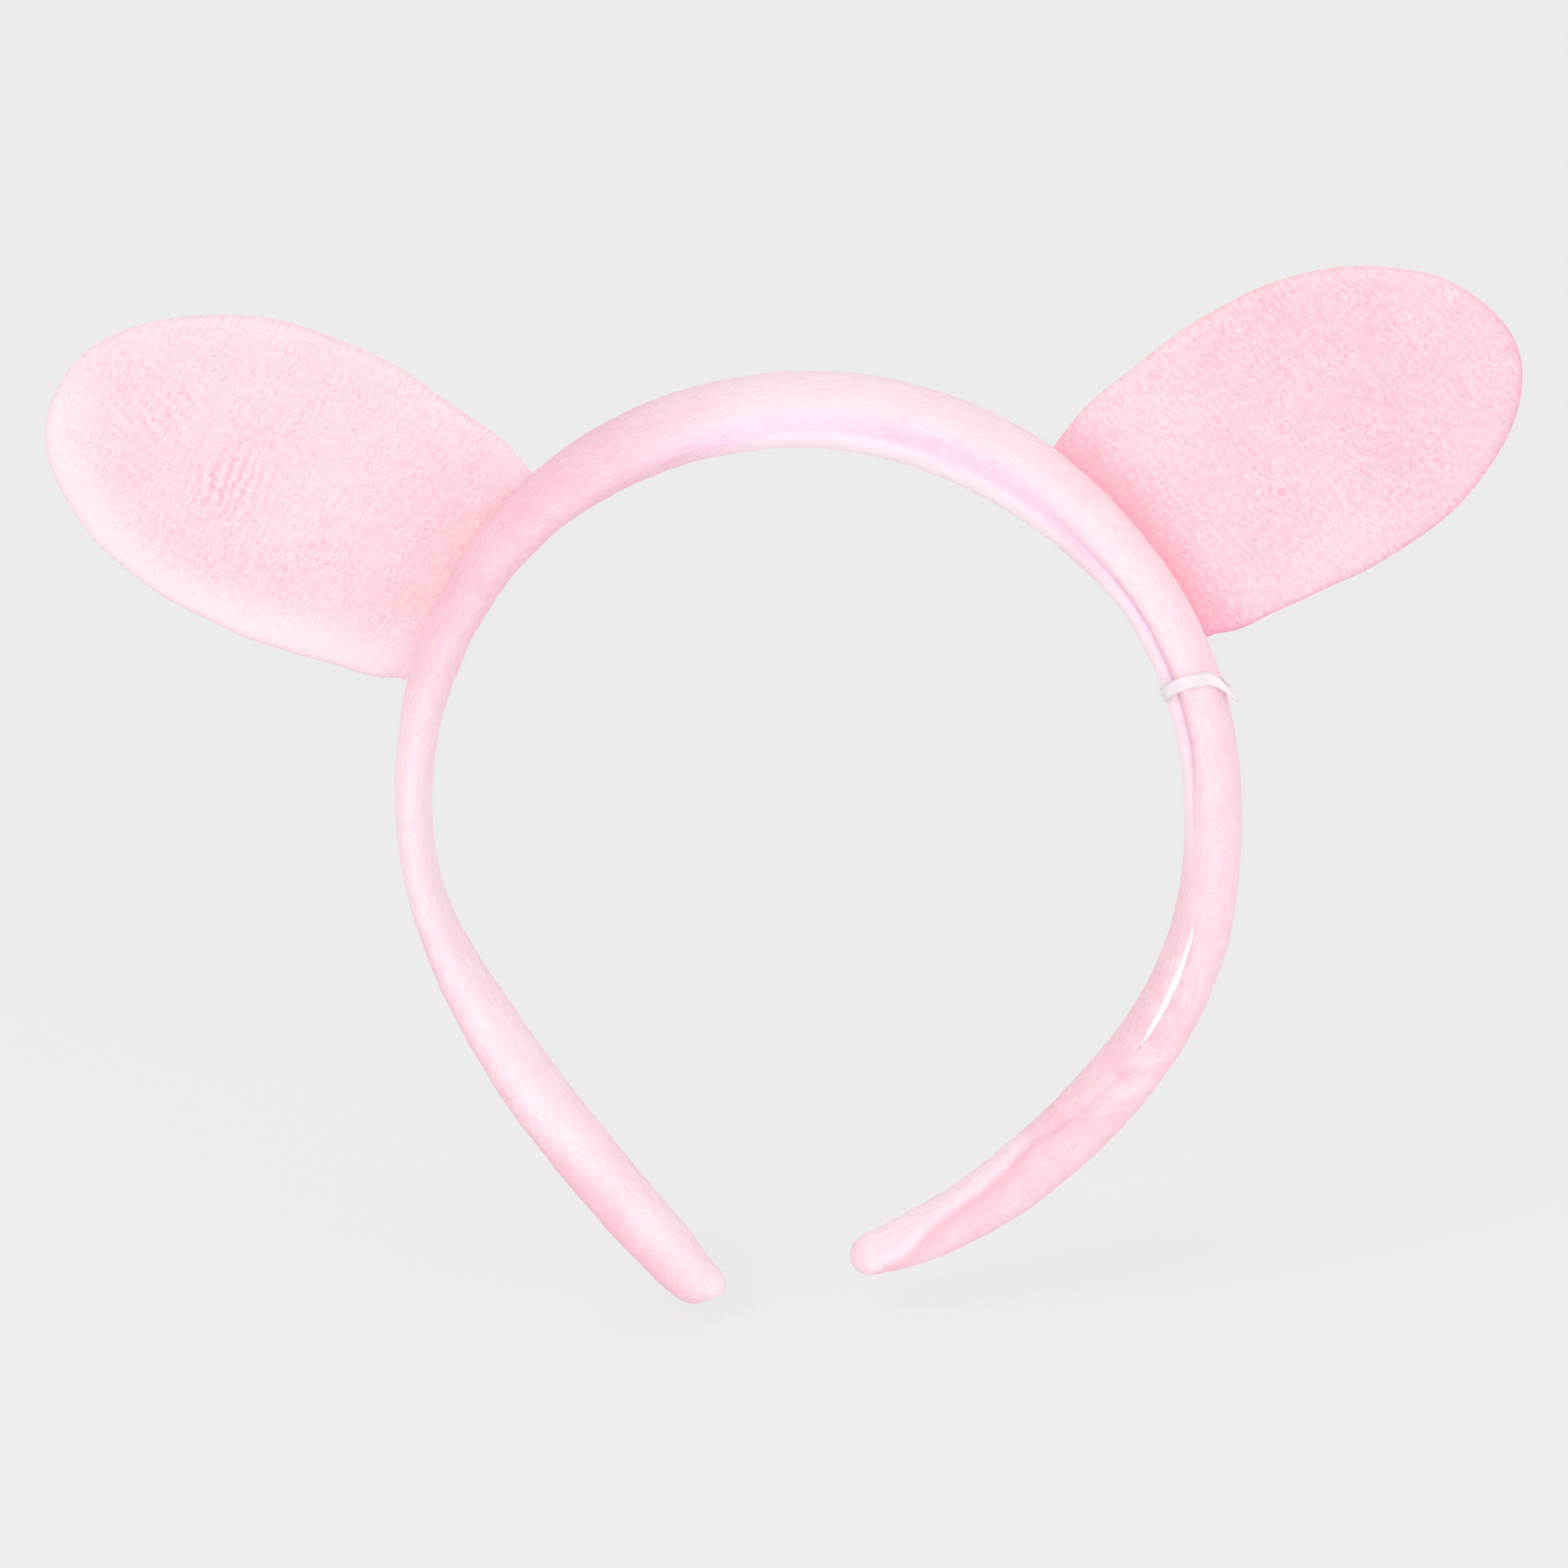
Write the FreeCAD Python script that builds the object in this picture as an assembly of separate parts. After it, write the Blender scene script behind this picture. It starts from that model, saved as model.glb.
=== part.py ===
import FreeCAD, Part
import math
import os

# Animal ears headband: a plush-covered sprung band with two soft ears sewn to
# its back edge and a loose clear plastic loop round one arm.
# Millimetres. +Z up (towards the ears), +X to the wearer's left, -Y is the front.
# Origin: centre of the band's inner arc, on the band's middle plane.

FreeCAD.Console.SetStatus("Console", "Log", False)

# ---------------------------------------------------------------- driving sizes
PILE = 1.5             # thickness of the plush cover and of the lining
CORE_T = 1.4           # white plastic strip, thickness
CORE_SPAN = 62.0       # white plastic strip, reach each side of the head face, as a section angle
CORE_CLEAR = 0.1       # strip to lining
TIP_SHEAR = 2.4        # left tip's end is cut at a slant, shorter on the outer side
SEAM_GAP_DEG = 0.5     # joint between cover and lining, as a section angle
SLIT_W = 1.5           # widest opening of the gaping seam
SLIT_MID, SLIT_HALF = 329.8, 13.0   # where it gapes, along the band
CAP_LEN = 5.0          # folded fabric wrap at each tip

# Band stations from the left tip over the top to the right tip:
# (x, z, width, thickness, roll in degrees; + turns the outer face to the front)
STATIONS = [
    (-15.20, -80.50, 7.2, 4.9, -27.0),
    (-19.67, -77.34, 9.9, 7.1, -27.0),
    (-22.92, -73.52, 11.2, 8.2, -27.0),
    (-29.12, -66.10, 12.0, 8.4, -27.0),
    (-35.10, -58.49, 12.3, 8.5, -27.0),
    (-40.90, -50.76, 12.4, 8.2, -27.0),
    (-46.41, -42.81, 12.5, 8.0, -26.0),
    (-51.47, -34.56, 12.6, 7.6, -21.1),
    (-56.15, -26.11, 12.6, 6.8, -14.2),
    (-60.17, -17.32, 12.6, 5.8, -7.6),
    (-62.80, -8.00, 12.9, 5.5, -3.2),
    (-63.82, 1.62, 13.5, 5.7, -0.7),
    (-63.41, 11.26, 14.1, 6.0, 1.5),
    (-61.69, 20.73, 14.9, 6.7, 3.4),
    (-58.61, 29.85, 15.7, 7.4, 5.8),
    (-54.24, 38.44, 16.3, 7.6, 8.3),
    (-48.65, 46.29, 16.8, 7.7, 10.3),
    (-41.86, 53.13, 17.4, 8.0, 12.1),
    (-34.02, 58.73, 18.3, 8.7, 13.3),
    (-25.40, 63.03, 18.6, 9.0, 14.2),
    (-16.22, 65.97, 18.6, 9.3, 14.8),
    (-6.70, 67.57, 18.9, 9.8, 15.0),
    (2.96, 67.69, 18.8, 10.2, 15.0),
    (12.51, 66.22, 18.6, 10.6, 15.0),
    (21.74, 63.35, 18.5, 10.9, 15.0),
    (30.45, 59.15, 18.2, 10.9, 15.0),
    (38.44, 53.73, 17.2, 10.4, 15.0),
    (45.61, 47.25, 16.1, 9.9, 15.0),
    (52.00, 39.99, 14.8, 9.2, 15.0),
    (57.04, 31.73, 14.6, 9.0, 15.0),
    (60.82, 22.85, 14.6, 9.0, 15.0),
    (63.29, 13.51, 14.6, 9.0, 15.0),
    (64.38, 3.89, 14.6, 9.0, 15.0),
    (64.39, -5.78, 14.3, 9.1, 12.3),
    (63.31, -15.39, 14.2, 9.5, 2.4),
    (60.70, -24.71, 13.7, 9.4, -8.3),
    (56.65, -33.52, 13.2, 9.2, -17.4),
    (51.37, -41.64, 13.0, 9.3, -23.0),
    (45.19, -49.08, 13.0, 9.4, -24.0),
    (38.38, -55.93, 12.7, 9.1, -24.0),
    (30.97, -62.14, 12.2, 8.7, -24.0),
    (22.90, -67.49, 11.2, 7.9, -24.0),
    (14.20, -71.76, 9.6, 6.6, -24.0),
    (9.51, -73.51, 7.8, 5.0, -24.0),
    (6.62, -74.37, 6.5, 4.2, -24.0),
]

# Section angle of the front seam along the band (0 is the outer face's middle,
# -90 the front edge, -180 the head side); the back seam stays at BACK_SEAM.
FRONT_SEAM = [(0, -120), (152.4, -133), (167.4, -121), (180.4, -103), (192.4, -82),
              (202.4, -76), (213.4, -79), (234.4, -85), (249.4, -98), (264.4, -110),
              (278.4, -114), (292.4, -119), (304.4, -118), (313.4, -114), (319.4, -116),
              (324.4, -126), (332.4, -137), (338.4, -142), (345.4, -143), (352.4, -147),
              (358.4, -156), (366.4, -174), (373.4, -185), (406, -185)]
BACK_SEAM = 125.0

# Right arm, where the clear loop slides: an arc with one constant section.
ARC_X, ARC_Z, ARC_R = -2.41, 1.15, 66.85
LOOP_ANGLE = 20.0      # rest position of the loop, above the arc's +X line
LOOP_W = 2.4           # width of the loop's film
LOOP_T = 0.5           # film thickness
LOOP_CLEAR = 0.4       # all-round clearance on the plush
LOOP_SLACK = 1.9       # how far the slack stands proud at the outer edge

# Ears: outlines on the plane y = EAR_Y, from the upper base corner round the tip
# to the lower base corner.
EAR_Y = 10.2
EAR_HALF_T = 2.2
EAR_PANEL = 1.0
EAR_EDGE_R = 1.7
EAR_SEAM_T = 0.3       # sewn edge between the two panels
EAR_SEAM_W = 1.4
LEFT_EAR = [(-48.1, 60.3), (-54.5, 65.0), (-59.8, 68.8), (-64.1, 72.0), (-68.4, 74.4),
            (-72.6, 76.3), (-76.8, 78.0), (-81.1, 79.5), (-85.5, 80.6), (-90.4, 81.1),
            (-95.3, 81.1), (-100.8, 80.6), (-107.0, 79.2), (-112.8, 76.7), (-117.8, 72.2),
            (-121.0, 66.3), (-121.9, 59.7), (-119.8, 53.3), (-117.1, 48.1), (-113.5, 43.5),
            (-109.8, 40.1), (-106.2, 37.2), (-102.7, 34.9), (-99.0, 32.9), (-95.4, 31.1),
            (-91.7, 29.2), (-87.4, 27.7), (-82.8, 26.2), (-77.2, 24.6), (-70.4, 22.8)]
RIGHT_EAR = [(43.5, 66.7), (48.8, 71.2), (53.3, 74.8), (57.2, 77.9), (61.2, 80.6),
             (65.0, 82.7), (68.9, 84.8), (73.0, 86.4), (77.4, 87.7), (82.2, 88.6),
             (87.4, 88.8), (93.0, 88.3), (99.2, 86.9), (104.7, 83.8), (109.6, 79.3),
             (112.3, 73.2), (112.1, 66.6), (110.0, 60.5), (107.0, 55.4), (103.9, 51.3),
             (100.4, 47.9), (97.1, 45.3), (93.7, 43.0), (90.4, 40.9), (87.0, 39.1),
             (83.2, 37.4), (79.2, 35.4), (74.5, 33.2), (69.1, 30.8)]
LEFT_BASE = ((-45.1, 57.0), (-66.7, 22.6))
RIGHT_BASE = ((38.8, 61.3), (64.5, 29.9))
EAR_BASE_LIFT = 1.1    # ear base above the hinge line
TAB_T = 1.2            # sewn tab at the ear's root
STITCH_R = 0.25
STITCHES = 9

OUT = "parts"
os.makedirs(OUT, exist_ok=True)
V = FreeCAD.Vector
Y = V(0, 1, 0)


# ---------------------------------------------------------------- band geometry
def monotone(xs, ys):
    """A smooth interpolant through the points that never overshoots them."""
    n = len(xs)
    d = [(ys[i + 1] - ys[i]) / (xs[i + 1] - xs[i]) for i in range(n - 1)]
    m = [d[0]] + [0.0 if d[i - 1] * d[i] <= 0 else 2 * d[i - 1] * d[i] / (d[i - 1] + d[i])
                  for i in range(1, n - 1)] + [d[-1]]

    def f(x):
        x = min(max(x, xs[0]), xs[-1])
        k = 0
        while k < n - 2 and x > xs[k + 1]:
            k += 1
        h = xs[k + 1] - xs[k]
        t = (x - xs[k]) / h
        return (ys[k] * (2 * t ** 3 - 3 * t ** 2 + 1) + h * m[k] * (t ** 3 - 2 * t ** 2 + t)
                + ys[k + 1] * (3 * t ** 2 - 2 * t ** 3) + h * m[k + 1] * (t ** 3 - t ** 2))
    return f


line = Part.BSplineCurve()
line.interpolate([V(s[0], 0, s[1]) for s in STATIONS])
u0, u1 = line.FirstParameter, line.LastParameter
SAMPLES = 1600
us = [u0 + (u1 - u0) * i / SAMPLES for i in range(SAMPLES + 1)]
pts = [line.value(u) for u in us]
arc = [0.0]
for i in range(SAMPLES):
    arc.append(arc[-1] + (pts[i + 1] - pts[i]).Length)
LENGTH = arc[-1]


def at(s):
    """Point and outward normal of the centreline at s along the band."""
    s = min(max(s, 0.0), LENGTH)
    lo, hi = 0, SAMPLES
    while hi - lo > 1:
        mid = (lo + hi) // 2
        if arc[mid] <= s:
            lo = mid
        else:
            hi = mid
    t = (s - arc[lo]) / (arc[hi] - arc[lo])
    u = us[lo] + t * (us[hi] - us[lo])
    tan = line.tangent(u)[0]
    return line.value(u), V(-tan.z, 0, tan.x)


def s_of(p):
    """Length along the band of the centreline point nearest to p."""
    return arc[min(range(SAMPLES + 1), key=lambda i: (pts[i] - p).Length)]


knots = [s_of(V(s[0], 0, s[1])) for s in STATIONS]
width = monotone(knots, [s[2] for s in STATIONS])
thick = monotone(knots, [s[3] for s in STATIONS])
roll = monotone(knots, [s[4] for s in STATIONS])
seam = monotone([a for a, _ in FRONT_SEAM], [b for _, b in FRONT_SEAM])


def frame_at(s):
    p, n = at(s)
    r = math.radians(roll(s))
    out = n * math.cos(r) - Y * math.sin(r)
    back = Y * math.cos(r) + n * math.sin(r)
    return p, out, back


def on(s, deg, inset=0.0):
    """Point on the band's oval section, inset towards its centre."""
    p, out, back = frame_at(s)
    a, b = thick(s) / 2 - inset, width(s) / 2 - inset
    t = math.radians(deg)
    return p + out * (a * math.cos(t)) + back * (b * math.sin(t))


def spline(points, closed=False):
    c = Part.BSplineCurve()
    if closed:
        c.interpolate(points, PeriodicFlag=True)
    else:
        c.interpolate(points)
    return c.toShape()


def loft(wires):
    s = Part.makeLoft(wires, True, False)
    if s.Volume < 0:
        s.reverse()
    return s


def steps(s0, s1, pitch):
    n = max(2, int(round((s1 - s0) / pitch)))
    return [s0 + (s1 - s0) * i / n for i in range(n + 1)]


def slit(s):
    """Opening of the gaping seam, mm."""
    x = (s - SLIT_MID) / SLIT_HALF
    return SLIT_W * math.cos(x * math.pi / 2) ** 2 if abs(x) < 1 else 0.0


def shell_wire(s, a0, a1, n=9):
    outer = [on(s, a0 + (a1 - a0) * i / n) for i in range(n + 1)]
    inner = [on(s, a1 + (a0 - a1) * i / n, PILE) for i in range(n + 1)]
    return Part.Wire([spline(outer), Part.LineSegment(outer[-1], inner[0]).toShape(),
                      spline(inner), Part.LineSegment(inner[-1], outer[0]).toShape()])


S0, S1 = CAP_LEN, LENGTH - CAP_LEN
stations = steps(S0, S1, 10.0)

cover_wires, lining_wires, core_wires, pad_wires = [], [], [], []
for s in stations:
    f = seam(s)
    open_deg = math.degrees(slit(s) / (width(s) / 2 * 0.8))
    cover_wires.append(shell_wire(s, f + SEAM_GAP_DEG + open_deg / 2, BACK_SEAM - SEAM_GAP_DEG))
    lining_wires.append(shell_wire(s, BACK_SEAM + SEAM_GAP_DEG, 360 + f - SEAM_GAP_DEG - open_deg / 2))


def core_wire(s, n=8):
    # bowed strip that lies against the lining, round the head side
    lo, hi = 180.0 - CORE_SPAN, 180.0 + CORE_SPAN
    i0 = PILE + CORE_CLEAR
    i1 = min(i0 + CORE_T, thick(s) / 2 - 0.25)
    outer = [on(s, lo + (hi - lo) * i / n, i0) for i in range(n + 1)]
    inner = [on(s, hi - 3.0 - (hi - lo - 6.0) * i / n, i1) for i in range(n + 1)]
    return Part.Wire([spline(outer), Part.LineSegment(outer[-1], inner[0]).toShape(),
                      spline(inner), Part.LineSegment(inner[-1], outer[0]).toShape()])


def pad_wire(s, n=6):
    # D-shaped foam that fills the rest of the section
    a, b = thick(s) / 2 - PILE - 0.1, width(s) / 2 - PILE - 0.1
    lim = math.degrees(math.acos(min(0.9, 0.15 / a)))
    arc_pts = [on(s, -lim + 2 * lim * i / n, PILE + 0.1) for i in range(n + 1)]
    return Part.Wire([spline(arc_pts), Part.LineSegment(arc_pts[-1], arc_pts[0]).toShape()])


band_cover = loft(cover_wires)
band_lining = loft(lining_wires)
band_core = loft([core_wire(s) for s in steps(S0 + 4.0, S1 - 4.0, 10.0)])
band_padding = loft([pad_wire(s) for s in steps(24.0, LENGTH - 22.0, 12.0)])


def cap(s_end, s_in, shear=0.0):
    """Folded fabric wrap that closes one tip of the band."""
    ws = []
    for k, f in ((0.0, 0.55), (0.18, 0.80), (0.45, 0.95), (1.0, 1.0)):
        s = s_end + (s_in - s_end) * k
        p, out, back = frame_at(s)
        _, n = at(s)
        along = V(n.z, 0, -n.x)
        a, b = thick(s) / 2 * f, width(s) / 2 * f
        q = []
        for i in range(12):
            t = 2 * math.pi * i / 12
            slant = shear * (1 - k) * (0.5 + 0.5 * math.cos(t))
            q.append(p + out * (a * math.cos(t)) + back * (b * math.sin(t)) + along * slant)
        ws.append(Part.Wire([spline(q, True)]))
    return loft(ws)


left_tip_wrap = cap(0.0, S0 - 0.05, TIP_SHEAR)
right_tip_wrap = cap(LENGTH, S1 + 0.05)


# ---------------------------------------------------------------- the clear loop
def loop_face(extra):
    """Section of the loop's film on the arc's radial plane, at angle 0."""
    r = math.radians(roll(knots[30]))
    out, back = V(math.cos(r), -math.sin(r), 0), V(math.sin(r), math.cos(r), 0)
    c = V(ARC_X + ARC_R, 0, ARC_Z)
    a, b = thick(knots[30]) / 2, width(knots[30]) / 2
    q = []
    for i in range(36):
        t = 2 * math.pi * i / 36
        slack = LOOP_SLACK * math.exp(-((math.degrees((t + 0.35 + math.pi) % (2 * math.pi) - math.pi)) / 26.0) ** 2)
        m = V(0, 0, 0) + out * (math.cos(t) / a) + back * (math.sin(t) / b)
        m.normalize()
        q.append(c + out * (a * math.cos(t)) + back * (b * math.sin(t)) + m * (LOOP_CLEAR + slack + extra))
    return Part.Wire([spline(q, True)])


face = Part.Face([loop_face(LOOP_T), loop_face(0.0)])
face.validate()
half = math.degrees(LOOP_W / 2 / ARC_R)
pivot = V(ARC_X, 0, ARC_Z)
face.rotate(pivot, V(0, -1, 0), LOOP_ANGLE - half)
clear_loop = face.revolve(pivot, V(0, -1, 0), 2 * half)
if clear_loop.Volume < 0:
    clear_loop.reverse()


# ---------------------------------------------------------------- the ears
def ear(outline, base):
    """Panels, filling and sewn edge of one ear, with its hinge line's ends."""
    a, b = [V(q[0], EAR_Y, q[1]) for q in base]
    d = b - a
    d.normalize()
    n = V(d.z, 0, -d.x)
    if n.dot(V(outline[12][0], EAR_Y, outline[12][1]) - a) < 0:
        n = n * -1
    lift = n * EAR_BASE_LIFT
    edge = [a + d * 1.2 + lift] + [V(q[0], EAR_Y, q[1]) for q in outline] + [b - d * 1.2 + lift]

    def plate(points, y0, y1):
        w = Part.Wire([spline(points), Part.LineSegment(points[-1], points[0]).toShape()])
        w.translate(V(0, y0 - EAR_Y, 0))
        return Part.Face(w).extrude(V(0, y1 - y0, 0))

    def inset(points, k):
        m = len(points)
        out = []
        for i in range(m):
            t = points[min(i + 1, m - 1)] - points[max(i - 1, 0)]
            t.normalize()
            side = V(t.z, 0, -t.x)
            out.append(points[i] + side * k)
        # the base stays straight, k above the sewn base
        for i in (0, m - 1):
            q = out[i]
            v = (q - a).dot(n)
            out[i] = q + n * (EAR_BASE_LIFT + abs(k) - v)
        return out

    # which side is inwards
    t = edge[2] - edge[0]
    side = V(t.z, 0, -t.x)
    centre = V(0, 0, 0)
    for q in edge:
        centre = centre + q * (1.0 / len(edge))
    sign = 1.0 if side.dot(centre - edge[1]) > 0 else -1.0

    h, st = EAR_HALF_T, EAR_SEAM_T / 2
    inner = inset(edge, sign * 1.6)
    front = plate(edge, EAR_Y - h, EAR_Y - st)
    back = plate(edge, EAR_Y + st, EAR_Y + h)
    fill = plate(inner, EAR_Y - h + EAR_PANEL, EAR_Y + h - EAR_PANEL)

    def soften(solid, y):
        es = [e for e in solid.Edges if abs(e.BoundBox.YMin - y) < 1e-4 and abs(e.BoundBox.YMax - y) < 1e-4]
        return solid.makeFillet(EAR_EDGE_R, es)

    front = soften(front, EAR_Y - h)
    back = soften(back, EAR_Y + h)
    pocket = plate(inset(edge, sign * 1.6), EAR_Y - h + EAR_PANEL, EAR_Y + h - EAR_PANEL)
    front = front.cut(pocket)
    back = back.cut(pocket)
    rim = plate(edge, EAR_Y - st, EAR_Y + st).cut(plate(inset(edge, sign * EAR_SEAM_W), EAR_Y - 1, EAR_Y + 1))
    return front, back, fill, rim, a, b, n


def rear(s):
    """The band's furthest point to the back."""
    r = math.radians(roll(s))
    return math.hypot(thick(s) / 2 * math.sin(r), width(s) / 2 * math.cos(r))


def tab(s0, s1):
    """Strip sewn along the band's back edge that carries the ear's root."""
    ws = []
    for s in steps(s0, s1, 6.0):
        p, out, back = frame_at(s)
        _, n = at(s)
        e = width(s) / 2
        y0 = rear(s) + 0.05
        c = V(p.x, 0, p.z) + n * ((p + back * e) - p).dot(n)
        q = [c + n * k + Y * y for k, y in ((-1.3, y0), (0.9, y0), (0.9, y0 + TAB_T), (-1.3, y0 + TAB_T))]
        ws.append(Part.makePolygon(q + [q[0]]))
    return loft(ws)


def stitches(s0, s1):
    """Thread bars that bridge the tab and the band's back edge."""
    parts = []
    for i in range(STITCHES):
        s = s0 + 1.5 + (s1 - s0 - 3.0) * i / (STITCHES - 1)
        p, out, back = frame_at(s)
        _, n = at(s)
        e = width(s) / 2
        c = V(p.x, 0, p.z) + n * ((p + back * e) - p).dot(n)
        y = rear(s) + 0.05 + TAB_T + STITCH_R + 0.02
        start = c + n * -1.0 + Y * y
        parts.append(Part.makeCylinder(STITCH_R, 1.6, start, n))
    return Part.makeCompound(parts)


nodes = {
    "band_core": band_core,
    "band_padding": band_padding,
    "band_cover": band_cover,
    "band_lining": band_lining,
    "left_tip_wrap": left_tip_wrap,
    "right_tip_wrap": right_tip_wrap,
    "clear_loop": clear_loop,
}
for side_name, outline, base in (("left", LEFT_EAR, LEFT_BASE), ("right", RIGHT_EAR, RIGHT_BASE)):
    front, back, fill, rim, a, b, n = ear(outline, base)
    nodes[side_name + "_ear_front_panel"] = front
    nodes[side_name + "_ear_back_panel"] = back
    nodes[side_name + "_ear_filling"] = fill
    nodes[side_name + "_ear_edge_seam"] = rim
    s0, s1 = sorted((s_of(V(a.x, 0, a.z)), s_of(V(b.x, 0, b.z))))
    nodes[side_name + "_ear_base_tab"] = tab(s0 + 1.0, s1 - 1.0)
    nodes[side_name + "_ear_base_stitches"] = stitches(s0 + 1.0, s1 - 1.0)
    print(side_name, "hinge", [round(v, 4) for v in a], [round(v, 4) for v in b], "s", round(s0, 1), round(s1, 1))

for name, shape in nodes.items():
    solids = shape.Solids
    print("%-28s solids %d valid %s volume %.1f" % (name, len(solids), shape.isValid(), shape.Volume))
    shape.exportStep(OUT + "/" + name + ".step")
print("band length", round(LENGTH, 1))
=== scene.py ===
import bpy, bmesh, math
import numpy as np
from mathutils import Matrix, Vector, noise


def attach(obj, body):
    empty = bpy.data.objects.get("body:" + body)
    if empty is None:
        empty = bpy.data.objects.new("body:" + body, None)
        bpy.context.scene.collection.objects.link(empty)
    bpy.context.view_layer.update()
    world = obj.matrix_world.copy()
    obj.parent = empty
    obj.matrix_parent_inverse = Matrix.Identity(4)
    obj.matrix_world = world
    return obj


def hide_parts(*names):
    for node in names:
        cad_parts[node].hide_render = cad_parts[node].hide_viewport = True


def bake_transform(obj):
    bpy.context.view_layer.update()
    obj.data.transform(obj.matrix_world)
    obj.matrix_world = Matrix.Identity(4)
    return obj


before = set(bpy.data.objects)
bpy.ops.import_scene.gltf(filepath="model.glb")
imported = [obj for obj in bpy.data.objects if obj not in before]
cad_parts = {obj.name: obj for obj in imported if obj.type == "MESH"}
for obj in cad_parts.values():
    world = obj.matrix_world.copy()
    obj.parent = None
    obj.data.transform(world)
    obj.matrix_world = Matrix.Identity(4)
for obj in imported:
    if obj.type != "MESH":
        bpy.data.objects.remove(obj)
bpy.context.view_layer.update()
MM = 0.001

# ------------------------------------------------------------------ the band's line
# (x, z, width, thickness, roll) from the left tip over the top to the right tip, mm
STATIONS = np.array([
    (-15.20, -80.50, 7.2, 4.9, -27.0), (-19.67, -77.34, 9.9, 7.1, -27.0),
    (-22.92, -73.52, 11.2, 8.2, -27.0), (-29.12, -66.10, 12.0, 8.4, -27.0),
    (-35.10, -58.49, 12.3, 8.5, -27.0), (-40.90, -50.76, 12.4, 8.2, -27.0),
    (-46.41, -42.81, 12.5, 8.0, -26.0), (-51.47, -34.56, 12.6, 7.6, -21.1),
    (-56.15, -26.11, 12.6, 6.8, -14.2), (-60.17, -17.32, 12.6, 5.8, -7.6),
    (-62.80, -8.00, 12.9, 5.5, -3.2), (-63.82, 1.62, 13.5, 5.7, -0.7),
    (-63.41, 11.26, 14.1, 6.0, 1.5), (-61.69, 20.73, 14.9, 6.7, 3.4),
    (-58.61, 29.85, 15.7, 7.4, 5.8), (-54.24, 38.44, 16.3, 7.6, 8.3),
    (-48.65, 46.29, 16.8, 7.7, 10.3), (-41.86, 53.13, 17.4, 8.0, 12.1),
    (-34.02, 58.73, 18.3, 8.7, 13.3), (-25.40, 63.03, 18.6, 9.0, 14.2),
    (-16.22, 65.97, 18.6, 9.3, 14.8), (-6.70, 67.57, 18.9, 9.8, 15.0),
    (2.96, 67.69, 18.8, 10.2, 15.0), (12.51, 66.22, 18.6, 10.6, 15.0),
    (21.74, 63.35, 18.5, 10.9, 15.0), (30.45, 59.15, 18.2, 10.9, 15.0),
    (38.44, 53.73, 17.2, 10.4, 15.0), (45.61, 47.25, 16.1, 9.9, 15.0),
    (52.00, 39.99, 14.8, 9.2, 15.0), (57.04, 31.73, 14.6, 9.0, 15.0),
    (60.82, 22.85, 14.6, 9.0, 15.0), (63.29, 13.51, 14.6, 9.0, 15.0),
    (64.38, 3.89, 14.6, 9.0, 15.0), (64.39, -5.78, 14.3, 9.1, 12.3),
    (63.31, -15.39, 14.2, 9.5, 2.4), (60.70, -24.71, 13.7, 9.4, -8.3),
    (56.65, -33.52, 13.2, 9.2, -17.4), (51.37, -41.64, 13.0, 9.3, -23.0),
    (45.19, -49.08, 13.0, 9.4, -24.0), (38.38, -55.93, 12.7, 9.1, -24.0),
    (30.97, -62.14, 12.2, 8.7, -24.0), (22.90, -67.49, 11.2, 7.9, -24.0),
    (14.20, -71.76, 9.6, 6.6, -24.0), (9.51, -73.51, 7.8, 5.0, -24.0),
    (6.62, -74.37, 6.5, 4.2, -24.0)])
ARC = (-2.41, 1.15, 66.85)


def spline3(xs, ys):
    """Natural cubic spline through the points, as a function of arrays."""
    xs, ys = np.asarray(xs, float), np.asarray(ys, float)
    n = len(xs)
    h = np.diff(xs)
    A, b = np.zeros((n, n)), np.zeros(n)
    A[0, 0] = A[-1, -1] = 1
    for i in range(1, n - 1):
        A[i, i - 1], A[i, i], A[i, i + 1] = h[i - 1], 2 * (h[i - 1] + h[i]), h[i]
        b[i] = 6 * ((ys[i + 1] - ys[i]) / h[i] - (ys[i] - ys[i - 1]) / h[i - 1])
    m = np.linalg.solve(A, b)

    def f(x):
        x = np.asarray(x, float)
        k = np.clip(np.searchsorted(xs, x) - 1, 0, n - 2)
        a, c = xs[k + 1] - x, x - xs[k]
        return (m[k] * a ** 3 + m[k + 1] * c ** 3) / (6 * h[k]) \
            + (ys[k] / h[k] - m[k] * h[k] / 6) * a + (ys[k + 1] / h[k] - m[k + 1] * h[k] / 6) * c
    return f


def monotone(xs, ys):
    xs, ys = np.asarray(xs, float), np.asarray(ys, float)
    h, d = np.diff(xs), np.diff(ys) / np.diff(xs)
    m = np.zeros(len(xs))
    m[0], m[-1] = d[0], d[-1]
    for i in range(1, len(xs) - 1):
        m[i] = 0 if d[i - 1] * d[i] <= 0 else 2 * d[i - 1] * d[i] / (d[i - 1] + d[i])

    def f(x):
        x = np.clip(np.asarray(x, float), xs[0], xs[-1])
        k = np.clip(np.searchsorted(xs, x) - 1, 0, len(xs) - 2)
        t = (x - xs[k]) / h[k]
        return (ys[k] * (2 * t ** 3 - 3 * t ** 2 + 1) + h[k] * m[k] * (t ** 3 - 2 * t ** 2 + t)
                + ys[k + 1] * (3 * t ** 2 - 2 * t ** 3) + h[k] * m[k + 1] * (t ** 3 - t ** 2))
    return f


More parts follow.
